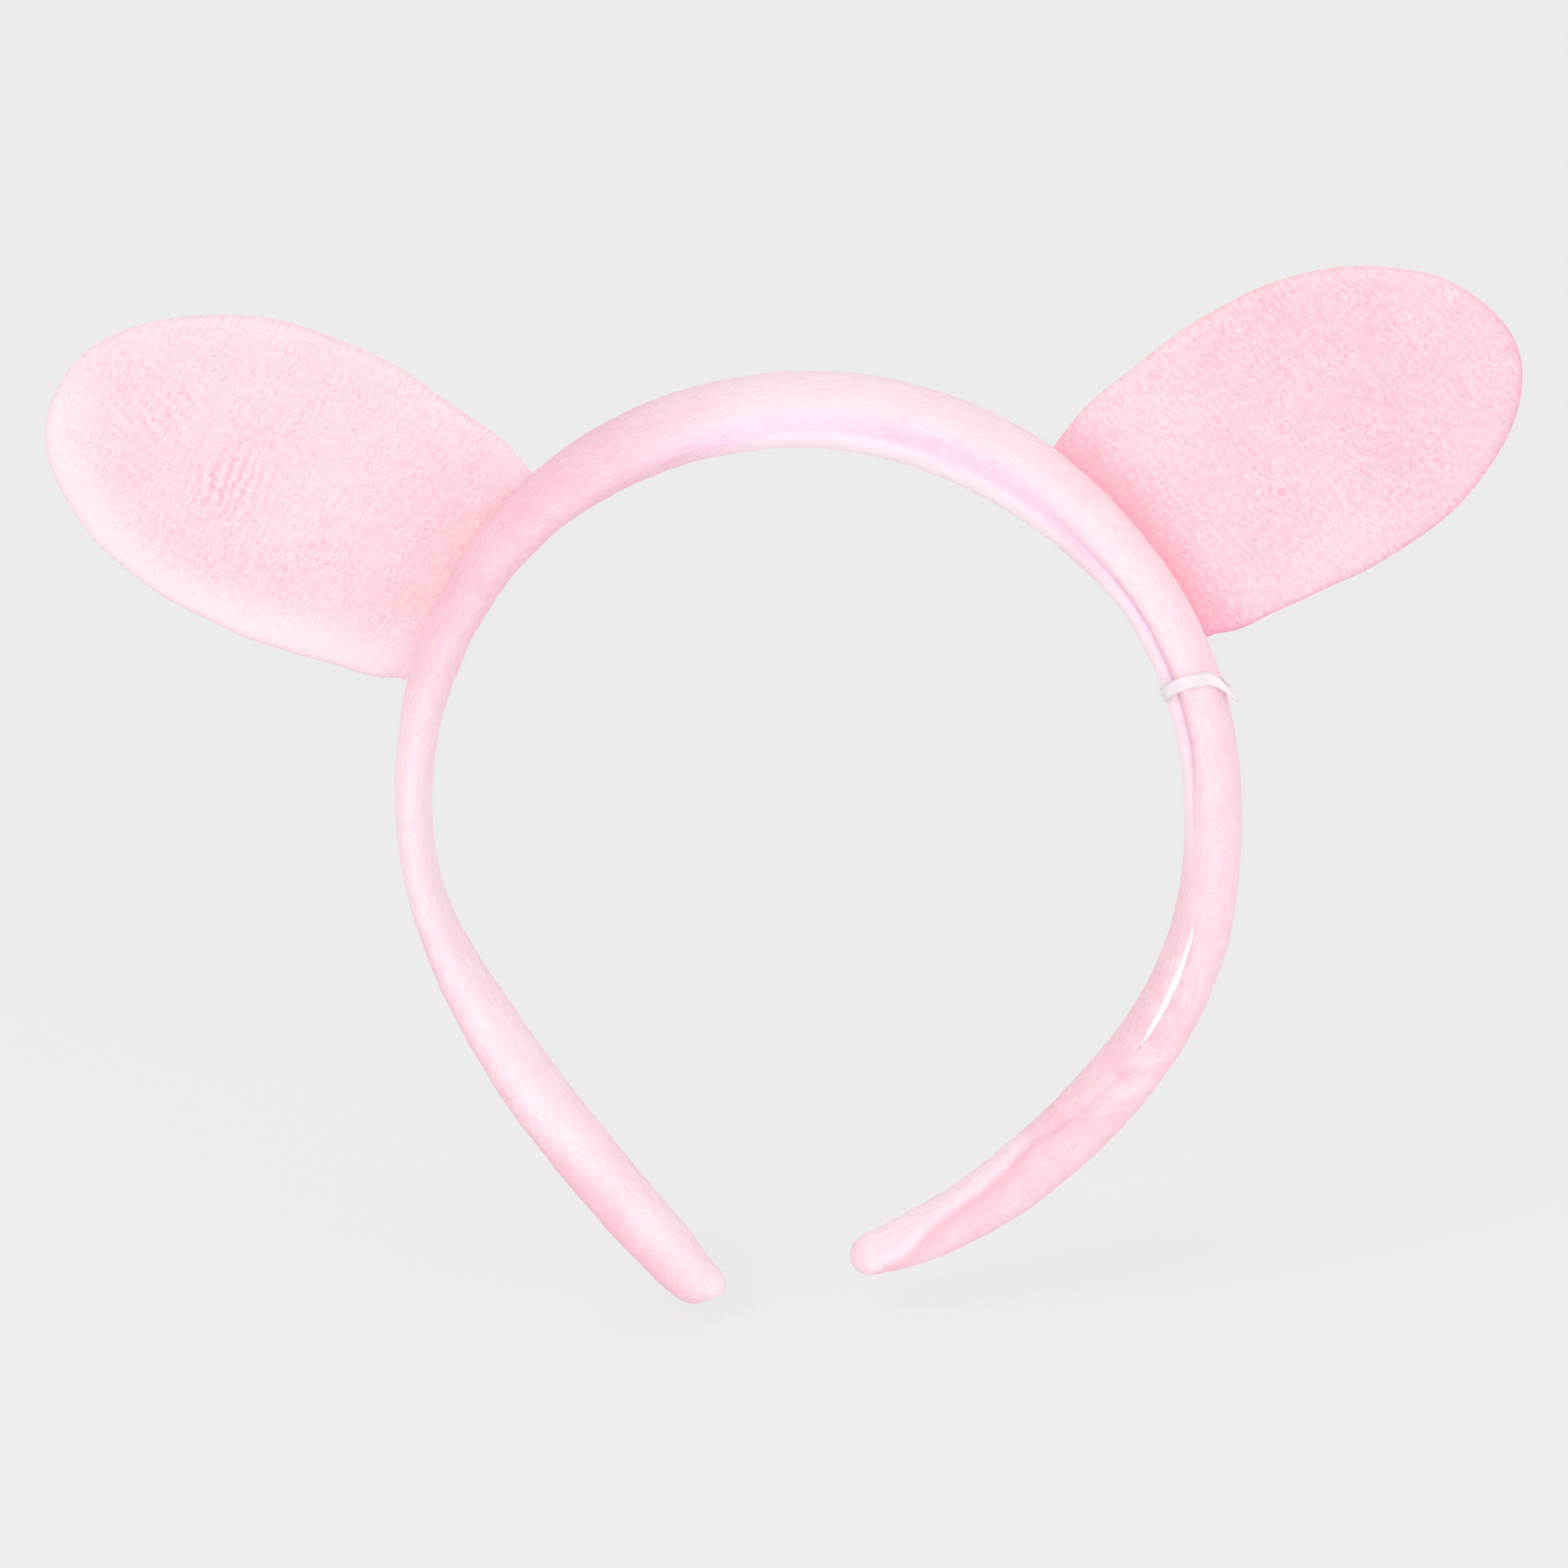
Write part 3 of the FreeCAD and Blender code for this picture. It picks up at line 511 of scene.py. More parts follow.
def skin(name, a0, a1, s0, s1, n_arc, front_end, step=0.46):
    """A soft closed strip round part of the band's section; the long edges meet at the joints."""
    S = np.arange(s0, s1 + 1e-6, step)
    p, out, back = frames(S)
    a, b = thick(S) / 2, width(S) / 2
    t0, t1 = np.radians(a0(S)), np.radians(a1(S))
    K = 160
    tt = t0[:, None] + (t1 - t0)[:, None] * np.linspace(0, 1, K)
    seg = np.hypot(-a[:, None] * np.sin(tt), b[:, None] * np.cos(tt))
    acc = np.concatenate([np.zeros((len(S), 1)), np.cumsum((seg[:, 1:] + seg[:, :-1]) / 2 * (tt[:, 1:] - tt[:, :-1]), axis=1)], 1)
    total = acc[:, -1]
    half = slit(S) / 2
    g0, g1 = (half, 0 * half) if front_end == 0 else (0 * half, half)
    u = np.linspace(0, 1, n_arc)
    u = (0.5 - 0.5 * np.cos(u * math.pi)) * 0.35 + u * 0.65
    d = g0[:, None] + (total - g0 - g1)[:, None] * u
    th = np.empty_like(d)
    for i in range(len(S)):
        th[i] = np.interp(d[i], acc[i], tt[i])
    d0, d1 = d - g0[:, None], (total - g1)[:, None] - d

    def drop(x, r, depth):
        q = np.clip(1 - x / r, 0, 1)
        return depth * (1 - np.sqrt(np.clip(1 - q ** 2, 0, 1)))

    lip = joint_lip(S)[:, None]
    df, db = (d0, d1) if front_end == 0 else (d1, d0)
    rf = 0.9 + 0.5 * np.clip(slit(S) / 0.8, 0, 1)[:, None]
    inset = drop(df, rf, lip) + drop(db, 1.0, 0.38)
    ca, sa = np.cos(th), np.sin(th)
    m = out[:, None, :] * (ca / a[:, None])[..., None] + back[:, None, :] * (sa / b[:, None])[..., None]
    m /= np.linalg.norm(m, axis=-1, keepdims=True)
    surf = p[:, None, :] + out[:, None, :] * (a[:, None] * ca)[..., None] + back[:, None, :] * (b[:, None] * sa)[..., None]
    flat = surf.reshape(-1, 3)
    big = fbm(flat, 15.0, 2, 3.1).reshape(d.shape)
    mid = fbm(flat, 4.5, 2, 6.3).reshape(d.shape)
    small = fbm(flat, 1.15, 2, 8.1).reshape(d.shape)
    deg = np.degrees(th)
    deg = np.where(deg > 130, deg - 360, deg)
    SS = S[:, None] + 0 * th
    rel, tone, cool = band_surface(SS, deg, df + half[:, None])
    calm = 1 - 0.75 * smooth(256, 262, SS) * (1 - smooth(304, 310, SS))
    rel = rel + calm * (0.14 * big + 0.07 * mid) + (0.035 + 0.055 * calm) * small
    rel = np.where((SS > 254) & (SS < 309), np.minimum(rel, 0.10), rel)
    tone = tone + 0.16 * mid + 0.12 * big
    outer = surf + m * (rel - inset)[..., None]
    ni = max(8, n_arc // 4)
    ui = np.linspace(1, 0, ni)
    di = g0[:, None] + 0.45 + (total - g0 - g1 - 0.9)[:, None] * ui
    thi = np.empty_like(di)
    for i in range(len(S)):
        thi[i] = np.interp(di[i], acc[i], tt[i])
    ai, bi = a - PILE, b - PILE
    inner = p[:, None, :] + out[:, None, :] * (ai[:, None] * np.cos(thi))[..., None] + back[:, None, :] * (bi[:, None] * np.sin(thi))[..., None]
    ring = np.concatenate([outer, inner], axis=1)
    v = np.concatenate([d, di], axis=1)
    uvr = np.stack([np.broadcast_to(S[:, None], v.shape), v], -1)
    pad = np.zeros((len(S), ni))
    tone = np.concatenate([tone, pad - 0.5], axis=1)
    cool = np.concatenate([cool, pad], axis=1)
    R, m_ = ring.shape[:2]
    faces = tube((R, m_))
    for r_ in (0, R - 1):
        o = r_ * m_
        for j in range(n_arc - 1):
            k = int(round((n_arc - 1 - j) / (n_arc - 1) * (ni - 1)))
            k2 = int(round((n_arc - 2 - j) / (n_arc - 1) * (ni - 1)))
            q = [o + j, o + j + 1, o + n_arc + (ni - 1 - k2)]
            if k != k2:
                q.append(o + n_arc + (ni - 1 - k))
            faces.append(tuple(q))
    ob = new_mesh(name, ring.reshape(-1, 3), faces, uvr.reshape(-1, 2))
    paint(ob, tone=np.clip(tone, -1.6, 1.6), cool=np.clip(cool, 0, 1))
    outward(ob)
    me = ob.data
    ev = np.empty(len(me.edges) * 2, int)
    me.edges.foreach_get("vertices", ev)
    ev = ev.reshape(-1, 2)
    rail = (ev[:, 0] % m_ == ev[:, 1] % m_) & np.isin(ev[:, 0] % m_, (0, n_arc - 1))
    at = me.attributes.new("sharp_edge", "BOOLEAN", "EDGE") if "sharp_edge" not in me.attributes else me.attributes["sharp_edge"]
    at.data.foreach_set("value", rail)
    return ob


S0, S1 = 4.8, LENGTH - 2.4
cover = skin("band_cover_skin", FRONT, lambda s: BACK + 0 * s, S0, S1, 104, 0)
lining = skin("band_lining_skin", lambda s: BACK + 0 * s, lambda s: 360 + FRONT(s), S0, S1, 56, 1)
give(cover, M_BAND)
give(lining, M_LINING)


# ------------------------------------------------------------------ the strip and the foam inside
def shell(name, s0, s1, lo, hi, outer_inset, inner_inset, m=40, step=1.0):
    S = np.arange(s0, s1 + 1e-6, step)
    p, out, back = frames(S)
    a, b = thick(S) / 2, width(S) / 2
    deg = lo + (hi(S)[:, None] - lo) * np.linspace(0, 1, m)[None, :]

    def face(dg, ins):
        t = np.radians(dg)
        aa, bb = a[:, None] - ins, b[:, None] - ins
        return p[:, None] + out[:, None] * (aa * np.cos(t))[..., None] + back[:, None] * (bb * np.sin(t))[..., None]
    o = face(deg, outer_inset(S[:, None], deg))
    i = face(deg[:, ::-1], inner_inset(S[:, None], deg[:, ::-1]))
    ring = np.concatenate([o, i], 1)
    R, k = ring.shape[:2]
    faces = tube((R, k))
    for r_ in (0, R - 1):
        q = r_ * k
        for j in range(m - 1):
            faces.append((q + j, q + j + 1, q + k - 2 - j, q + k - 1 - j))
    uv = np.stack([np.broadcast_to(S[:, None], (R, k)), np.broadcast_to(np.arange(k)[None] * 0.4, (R, k))], -1)
    ob = new_mesh(name, ring.reshape(-1, 3), faces, uv.reshape(-1, 2))
    return outward(ob)


def core_hi(s):
    """The strip's front edge, a little wider where the seam gapes."""
    return 242 + 13 * smooth(309, 316, s) * (1 - smooth(328, 338, s))


def core_out(s, deg):
    # the strip bows up towards the gap where the seam gapes
    th_ = 360 + FRONT(s)
    rad = np.hypot(thick(s) / 2 * np.sin(np.radians(th_)), width(s) / 2 * np.cos(np.radians(th_)))
    x = np.radians(deg - th_) * rad
    edge = np.clip(np.minimum(deg - 118, core_hi(s) - deg) / 6.0, 0, 1)
    return 1.46 + 0.35 * (1 - edge) - (1.05 + 0.24 * (1 - np.clip(slit(s) / 0.8, 0, 1))) * smooth(SLIT_MID - SLIT_HALF - 4, SLIT_MID - SLIT_HALF - 0.5, s) * (1 - smooth(SLIT_MID + SLIT_HALF - 1.2, SLIT_MID + SLIT_HALF + 0.6, s)) * np.exp(-(x / 1.5) ** 2)


def core_in(s, deg):
    edge = np.clip(np.minimum(deg - 118, core_hi(s) - deg) / 6.0, 0, 1)
    return np.minimum(2.95 - 0.35 * (1 - edge), thick(s) / 2 - 0.3) + 0 * deg


core = shell("band_core_strip", 9.5, LENGTH - 9.5, 118, core_hi, core_out, core_in, m=64, step=0.8)
give(core, M_CORE)


def foam_piece():
    S = np.arange(24.0, LENGTH - 22.0, 1.2)
    p, out, back = frames(S)
    a, b = thick(S) / 2 - 1.55, width(S) / 2 - 1.55
    m = 44
    t = np.linspace(-1.42, 1.42, m)
    arcp = np.stack([a[:, None] * np.cos(t), b[:, None] * np.sin(t)], -1)
    w = np.linspace(1, -1, 14)[1:-1]
    base = np.stack([0.2 + 0 * w[None, :] * a[:, None], b[:, None] * np.sin(1.42) * w[None, :]], -1)
    q = np.concatenate([arcp, base], 1)
    ring = p[:, None] + out[:, None] * q[..., 0:1] + back[:, None] * q[..., 1:2]
    flat = ring.reshape(-1, 3)
    k = q.shape[1]
    cen = p[:, None] + out[:, None] * (a * 0.4)[:, None, None]
    nrm = ring - cen
    nrm /= np.linalg.norm(nrm, axis=-1, keepdims=True)
    ring = ring - nrm * (0.10 + 0.08 * fbm(flat, 1.4, 2, 1.0).reshape(len(S), k))[..., None]
    verts = np.vstack([ring.reshape(-1, 3), cen[0], cen[-1]])
    faces = tube((len(S), k))
    n0, n1 = len(S) * k, len(S) * k + 1
    faces += [(n0, (j + 1) % k, j) for j in range(k)]
    faces += [(n1, (len(S) - 1) * k + j, (len(S) - 1) * k + (j + 1) % k) for j in range(k)]
    uv = np.vstack([np.stack([np.broadcast_to(S[:, None], (len(S), k)), np.broadcast_to(np.arange(k)[None] * 0.6, (len(S), k))], -1).reshape(-1, 2), [0, 0], [0, 0]])
    return outward(new_mesh("band_foam_fill", verts, faces, uv))


foam = foam_piece()
give(foam, M_FOAM)


# ------------------------------------------------------------------ tip wraps
def wrap(name, s_end, s_in, seed, shear, tones, Rr=3.2, pleat=0.09):
    """The cover's end folded over and closed round the tip."""
    n, m = 54, 110
    k = np.linspace(0, 1, n)
    S = s_end + (s_in - s_end) * k
    d = np.abs(S - s_end)
    f = np.sqrt(np.clip(1 - (1 - np.clip(d / Rr, 0, 1)) ** 2, 0, 1))
    p, out, back = frames(np.clip(S, 0, LENGTH))
    _, nn = line(np.clip(S, 0, LENGTH))
    sgn = 1.0 if s_in > s_end else -1.0
    along = np.stack([nn[:, 2], 0 * nn[:, 0], -nn[:, 0]], -1) * sgn
    proud = 0.10 - 0.62 * smooth(0.72, 1.0, k)
    a = (thick(S) / 2 + proud) * (0.10 + 0.90 * f)
    b = (width(S) / 2 + proud) * (0.10 + 0.90 * f)
    th = np.linspace(0, 2 * math.pi, m, endpoint=False)
    ring = p[:, None] + out[:, None] * (a[:, None] * np.cos(th))[..., None] + back[:, None] * (b[:, None] * np.sin(th))[..., None]
    cen = p[:, None]
    nrm = ring - cen
    nrm /= np.linalg.norm(nrm, axis=-1, keepdims=True)
    slant = shear * (1 - k)[:, None] * np.interp(np.cos(th), [-1, -0.6, 0, 1], [-0.15, 0.20, 0.62, 0.90])[None, :]
    ring = ring + along[:, None, :] * slant[..., None]
    fade_ = 1 - smooth(0.6, 0.95, k)[:, None]
    # gathered pleats at the very end, and the flap's fold
    pl = pleat * np.sin(5 * th + seed + 0.5 * np.sin(3 * th))[None, :] * np.exp(-d / 1.8)[:, None]
    flat = ring.reshape(-1, 3)
    mid = fbm(flat, 3.2, 2, seed).reshape(n, m)
    small = fbm(flat, 1.1, 2, 8.1).reshape(n, m)
    ring = ring + nrm * ((pl + 0.08 * mid) * fade_ + 0.06 * small)[..., None]
    verts = ring.reshape(-1, 3)
    faces = tube((n, m))
    verts = np.vstack([verts, ring[0].mean(0), p[-1]])
    i0, i1 = n * m, n * m + 1
    faces += [(i0, (j + 1) % m, j) for j in range(m)]
    faces += [(i1, (n - 1) * m + j, (n - 1) * m + (j + 1) % m) for j in range(m)]
    uv = np.stack([np.broadcast_to(S[:, None], (n, m)), np.broadcast_to(th * 4.0, (n, m))], -1).reshape(-1, 2)
    uv = np.vstack([uv, [0, 0], [0, 0]])
    deg = np.degrees(th)
    deg = np.where(deg > 130, deg - 360, deg)
    _, tone, cool = band_surface(S[:, None] + 0 * deg[None, :], deg[None, :] + 0 * S[:, None], 9.0 + 0 * (S[:, None] + deg[None, :]))
    # painted light and shade following the pleats, lighter on their crests
    tone = tone + 0.16 * mid + tones + 0.8 * pl
    ob = outward(new_mesh(name, verts, faces, uv))
    paint(ob, tone=np.r_[tone.ravel(), 0, 0], cool=np.r_[np.clip(cool, 0, 1).ravel(), 0, 0])
    return ob


left_wrap = wrap("left_tip_wrap_skin", -0.3, 6.4, 1.3, 3.2, 0.05, 2.1, 0.03)
right_wrap = wrap("right_tip_wrap_skin", LENGTH, LENGTH - 6.0, 4.6, 0.0, 0.1, 2.8, 0.07)
for w in (left_wrap, right_wrap):
    give(w, M_BAND)

# ------------------------------------------------------------------ ears
EAR_Y = 10.2
LEFT_EAR = [(-48.1, 60.3), (-54.5, 65.0), (-59.8, 68.8), (-64.1, 72.0), (-68.4, 74.4),
            (-72.6, 76.3), (-76.8, 78.0), (-81.1, 79.5), (-85.5, 80.6), (-90.4, 81.1),
            (-95.3, 81.1), (-100.8, 80.6), (-107.0, 79.2), (-112.8, 76.7), (-117.8, 72.2),
            (-121.0, 66.3), (-121.9, 59.7), (-119.8, 53.3), (-117.1, 48.1), (-113.5, 43.5),
            (-109.8, 40.1), (-106.2, 37.2), (-102.7, 34.9), (-99.0, 32.9), (-95.4, 31.1),
            (-91.7, 29.2), (-87.4, 27.7), (-82.8, 26.2), (-77.2, 24.6), (-70.4, 22.8)]
RIGHT_EAR = [(43.5, 66.7), (48.8, 71.2), (53.3, 74.8), (57.2, 77.9), (61.2, 80.6),
             (65.0, 82.7), (68.9, 84.8), (73.0, 86.4), (77.4, 87.7), (82.2, 88.6),
             (87.4, 88.8), (93.0, 88.3), (99.2, 86.9), (104.7, 83.8), (109.6, 79.3),
             (112.3, 73.2), (112.1, 66.6), (110.0, 60.5), (107.0, 55.4), (103.9, 51.3),
             (100.4, 47.9), (97.1, 45.3), (93.7, 43.0), (90.4, 40.9), (87.0, 39.1),
             (83.2, 37.4), (79.2, 35.4), (74.5, 33.2), (69.1, 30.8)]
LEFT_BASE = ((-45.1, 57.0), (-66.7, 22.6))
RIGHT_BASE = ((38.8, 61.3), (64.5, 29.9))


def rear(s):
    r = np.radians(roll(s))
    return np.hypot(thick(s) / 2 * np.sin(r), width(s) / 2 * np.cos(r))


def resample(P, n):
    P = np.asarray(P, float)
    c = np.r_[0, np.cumsum(np.linalg.norm(np.diff(P, axis=0), axis=1))]
    f, g = spline3(c, P[:, 0]), spline3(c, P[:, 1])
    t = np.linspace(0, c[-1], 2001)
    q = np.stack([f(t), g(t)], -1)
    c2 = np.r_[0, np.cumsum(np.linalg.norm(np.diff(q, axis=0), axis=1))]
    w = np.linspace(0, c2[-1], n)
    return np.stack([np.interp(w, c2, q[:, 0]), np.interp(w, c2, q[:, 1])], -1)


def ear_grid(outline, base, nu, nv):
    """Plane grid (nv+1, nu+1, 2) over the ear: rows from the sewn root to the tip."""
    A, B = np.array(base[0]), np.array(base[1])
    sa, sb = s_near(*A), s_near(*B)
    d = (B - A) / np.linalg.norm(B - A)
    n = np.array([d[1], -d[0]])
    if n @ (np.array(outline[12]) - A) < 0:
        n = -n
    k = np.linspace(0, 1, 400)
    sr = sa + (sb - sa) * k
    p, nn = line(sr)
    r = np.radians(roll(sr))
    lvl = width(sr) / 2 * np.sin(r) - 1.2
    root = np.stack([p[:, 0] + nn[:, 0] * lvl, p[:, 2] + nn[:, 2] * lvl], -1)
    O = resample([A + n * 0.3] + list(outline) + [B + n * 0.3], 900)
    O = np.vstack([root[:1], O, root[-1:]])
    O = resample_poly(O, 900)
    c1, c2 = int(900 * 0.395), int(900 * 0.605)
    left, top, right = O[:c1 + 1], O[c1:c2 + 1], O[c2:][::-1]
    even = lambda P, m: resample_poly(P, m)
    bot, top = even(root, nu + 1), even(top, nu + 1)
    lef, rig = even(left, nv + 1), even(right, nv + 1)
    u = np.linspace(0, 1, nu + 1)[None, :, None]
    v = np.linspace(0, 1, nv + 1)[:, None, None]
    g = (1 - v) * bot[None] + v * top[None] + (1 - u) * lef[:, None] + u * rig[:, None] \
        - ((1 - u) * (1 - v) * bot[0] + u * (1 - v) * bot[-1] + (1 - u) * v * top[0] + u * v * top[-1])
    return g, A, B, d, n, O


def resample_poly(P, n):
    c = np.r_[0, np.cumsum(np.linalg.norm(np.diff(P, axis=0), axis=1))]
    w = np.linspace(0, c[-1], n)
    return np.stack([np.interp(w, c, P[:, 0]), np.interp(w, c, P[:, 1])], -1)


def pillow(g, dist, seed):
    """Blow up a closed pillow over the outline with a short cloth run.

    g is a coarse grid of plane points, mm. Returns the front and back heights on it,
    scaled so that the full part of the pad is 1, or None when the run gives no usable heights.
    """
    rows, cols = g.shape[:2]
    q = np.clip(dist / 9.0, 0, 1)
    h0 = (0.25 + 2.0 * np.sqrt(np.clip(1 - (1 - q) ** 2, 0, 1)))
    rim = np.zeros((rows, cols), bool)
    rim[0], rim[-1], rim[:, 0], rim[:, -1] = True, True, True, True
    front_i = np.arange(rows * cols).reshape(rows, cols)
    back_i = front_i.copy()
    extra = np.argwhere(~rim)
    back_i[~rim] = rows * cols + np.arange(len(extra))
    flat = g.reshape(-1, 2)
    hh = np.where(rim, 0, h0).ravel()
    V0 = np.stack([flat[:, 0], -hh, flat[:, 1]], -1)
    gi = g[~rim]
    V1 = np.stack([gi[:, 0], h0[~rim], gi[:, 1]], -1)
    verts = np.vstack([V0, V1]) * 0.01          # ten times life size for the solver
    faces = []
    for i in range(rows - 1):
        for j in range(cols - 1):
            faces.append((front_i[i, j], front_i[i, j + 1], front_i[i + 1, j + 1], front_i[i + 1, j]))
            faces.append((back_i[i, j], back_i[i + 1, j], back_i[i + 1, j + 1], back_i[i, j + 1]))
    me = bpy.data.meshes.new("pillow")
    me.from_pydata([tuple(v) for v in verts], [], [tuple(int(k) for k in f) for f in faces])
    me.update()
    bm = bmesh.new()
    bm.from_mesh(me)
    bmesh.ops.recalc_face_normals(bm, faces=bm.faces)
    bm.to_mesh(me)
    bm.free()
    ob = bpy.data.objects.new("pillow", me)
    bpy.context.scene.collection.objects.link(ob)
    pin = ob.vertex_groups.new(name="pin")
    pin.add([int(k) for k in front_i[0]], 1.0, "REPLACE")
    md = ob.modifiers.new("Cloth", "CLOTH")
    c = md.settings
    c.quality = 5
    c.mass = 0.3
    c.tension_stiffness = c.compression_stiffness = 14.0
    c.shear_stiffness = 6.0
    c.bending_stiffness = 0.6
    c.use_pressure = True
    c.uniform_pressure_force = 3.0
    c.effector_weights.gravity = 0.0
    c.vertex_group_mass = "pin"
    md.collision_settings.use_collision = False
    sc = bpy.context.scene
    sc.frame_start, sc.frame_end = 1, 20
    md.point_cache.frame_start, md.point_cache.frame_end = 1, 20
    for f in range(1, 21):
        sc.frame_set(f)
    ev = ob.evaluated_get(bpy.context.evaluated_depsgraph_get())
    em = ev.to_mesh()
    co = np.empty(len(em.vertices) * 3)
    em.vertices.foreach_get("co", co)
    co = co.reshape(-1, 3) * 100
    ev.to_mesh_clear()
    bpy.data.objects.remove(ob, do_unlink=True)
    bpy.data.meshes.remove(me)
    sc.frame_set(1)
    fy = -co[front_i.ravel(), 1].reshape(rows, cols)
    by = co[back_i.ravel(), 1].reshape(rows, cols)
    if not np.isfinite(co).all():
        return None
    full = np.percentile((fy + by) / 2, 92)
    if full < 0.5:
        return None
    return np.clip(fy / full, -0.3, 1.35), np.clip(by / full, -0.3, 1.35)


def resize(a, rows, cols):
    """Bilinear change of a grid's size."""
    r, c = a.shape
    y, x = np.linspace(0, r - 1, rows), np.linspace(0, c - 1, cols)
    y0, x0 = np.minimum(y.astype(int), r - 2), np.minimum(x.astype(int), c - 2)
    fy, fx_ = (y - y0)[:, None], (x - x0)[None, :]
    g = lambda i, j: a[np.ix_(i, j)]
    return (g(y0, x0) * (1 - fy) * (1 - fx_) + g(y0 + 1, x0) * fy * (1 - fx_)
            + g(y0, x0 + 1) * (1 - fy) * fx_ + g(y0 + 1, x0 + 1) * fy * fx_)


def blur(a, n):
    for _ in range(n):
        b = np.pad(a, 1, mode="edge")
        a = (b[:-2, 1:-1] + b[2:, 1:-1] + b[1:-1, :-2] + b[1:-1, 2:] + 2 * a) / 6
    return a


def ear(side, outline, base, seed):
    nu, nv = 150, 214
    g, A, B, d, n, O = ear_grid(outline, base, nu, nv)
    for _ in range(60):
        g[1:-1, 1:-1] = 0.25 * (g[:-2, 1:-1] + g[2:, 1:-1] + g[1:-1, :-2] + g[1:-1, 2:])
    flat = g.reshape(-1, 2)
    dist = np.full(len(flat), 1e9)
    tau = np.zeros(len(flat))
    step_ = 3
    for c in range(0, len(O) - step_, step_):
        a_, b_ = O[c], O[c + step_]
        ab = b_ - a_
        t = np.clip(((flat - a_) @ ab) / (ab @ ab + 1e-12), 0, 1)
        dd = np.linalg.norm(flat - a_ - t[:, None] * ab, axis=1)
        hit = dd < dist
        tau[hit] = (c + step_ * t[hit]) / len(O)
        dist = np.where(hit, dd, dist)
    up = (flat - A) @ n              # height above the hinge line
    along = (flat - A) @ d
    rows, cols = 62, 44
    ri, ci = np.linspace(0, nv, rows).astype(int), np.linspace(0, nu, cols).astype(int)
    coarse = g[np.ix_(ri, ci)]
    cd = dist.reshape(nv + 1, nu + 1)[np.ix_(ri, ci)]
    blown = pillow(coarse, cd, seed)
    # pad: rounded edge, soft crown, thin at the sewn root
    R, H = 3.4, 2.15
    q = np.clip(dist / R, 0, 1)
    rnd = np.sqrt(np.clip(1 - (1 - q) ** 2, 0, 1))
    prof = H * rnd + 0.70 * smooth(2, 20, dist)
    if blown is None:
        hf = hb = prof
    else:
        bf, bb = (blur(resize(v, nv + 1, nu + 1), 6).ravel() for v in blown)
        soft = smooth(0.0, 3.0, dist)
        hf = 0.62 * prof + 0.38 * (rnd * H * 1.25 * np.clip(bf, 0.0, 1.3)) * soft + 0.38 * prof * (1 - soft)
        hb = 0.62 * prof + 0.38 * (rnd * H * 1.25 * np.clip(bb, 0.0, 1.3)) * soft + 0.38 * prof * (1 - soft)
    taper = 0.34 + 0.66 * smooth(-1.0, 9.0, up)
    hf, hb = hf * taper, hb * taper
    sm = 0.5 * (s_near(*A) + s_near(*B))
    root_y = float(rear(np.array([sm]))[0]) + 0.62
    mid = root_y + (EAR_Y - root_y) * smooth(-0.5, 9.0, up)
    P3 = np.stack([flat[:, 0], mid, flat[:, 1]], -1)
    lump = fbm(P3, 17.0, 2, seed)
    lumpb = fbm(P3 + 40, 17.0, 2, seed)
    ripple = fbm(P3, 5.0, 2, seed + 2)
    pile = fbm(P3, 1.0, 2, seed + 9)
    pileb = fbm(P3 + 20, 1.0, 2, seed + 3)
    edge = smooth(0.0, 2.5, dist)
    pucker = 0.16 * np.sin(along * 1.25 + seed) * bell(up, 3.0, 4.0)
    # knit stitches pressed through the pile
    wv = along / 1.35 + 0.5 * lump
    fr = np.abs(wv - np.floor(wv) - 0.5)
    knit = np.sin(2 * math.pi * (up / 1.05 + 1.5 * fr + 0.5 * ripple))
    # brushed-up patch on the left ear
    px_, pz_ = flat[:, 0], flat[:, 1]
    ruff = 0 * px_
    if side == "left":
        zone = np.exp(-(((px_ + 92.0) / 6.5) ** 2 + ((pz_ - 55.0) / 6.0) ** 2) ** 1.3)
        al = math.radians(22)
        ruff = zone * np.sin(2 * math.pi * ((px_ * math.cos(al) - pz_ * math.sin(al)) / 1.75 + 0.35 * ripple + 0.25 * pile))
        zone2 = np.exp(-(((px_ + 103.0) / 8.0) ** 2 + ((pz_ - 66.0) / 6.0) ** 2) ** 1.2)
        ruff = ruff + 0.45 * zone2 * np.sin(2 * math.pi * ((px_ * 0.78 + pz_ * 0.62) / 1.9 + 0.4 * ripple))
    else:
        zone = np.exp(-(((px_ - 96.0) / 11.0) ** 2 + ((pz_ - 62.0) / 8.0) ** 2) ** 1.2)
        ruff = 0.30 * zone * np.sin(2 * math.pi * ((px_ * 0.30 + pz_ * 0.95) / 1.9 + 0.35 * ripple))
    soft_in = smooth(0.0, 3.2, dist)
    front_y = mid - hf - edge * (0.20 * lump + 0.06 * ripple + pucker + 0.10 * ruff) - soft_in * (0.022 * knit + 0.06 * pile)
    back_y = mid + hb + edge * (0.20 * lumpb + 0.06 * ripple - pucker) + soft_in * (0.022 * knit + 0.06 * pileb)
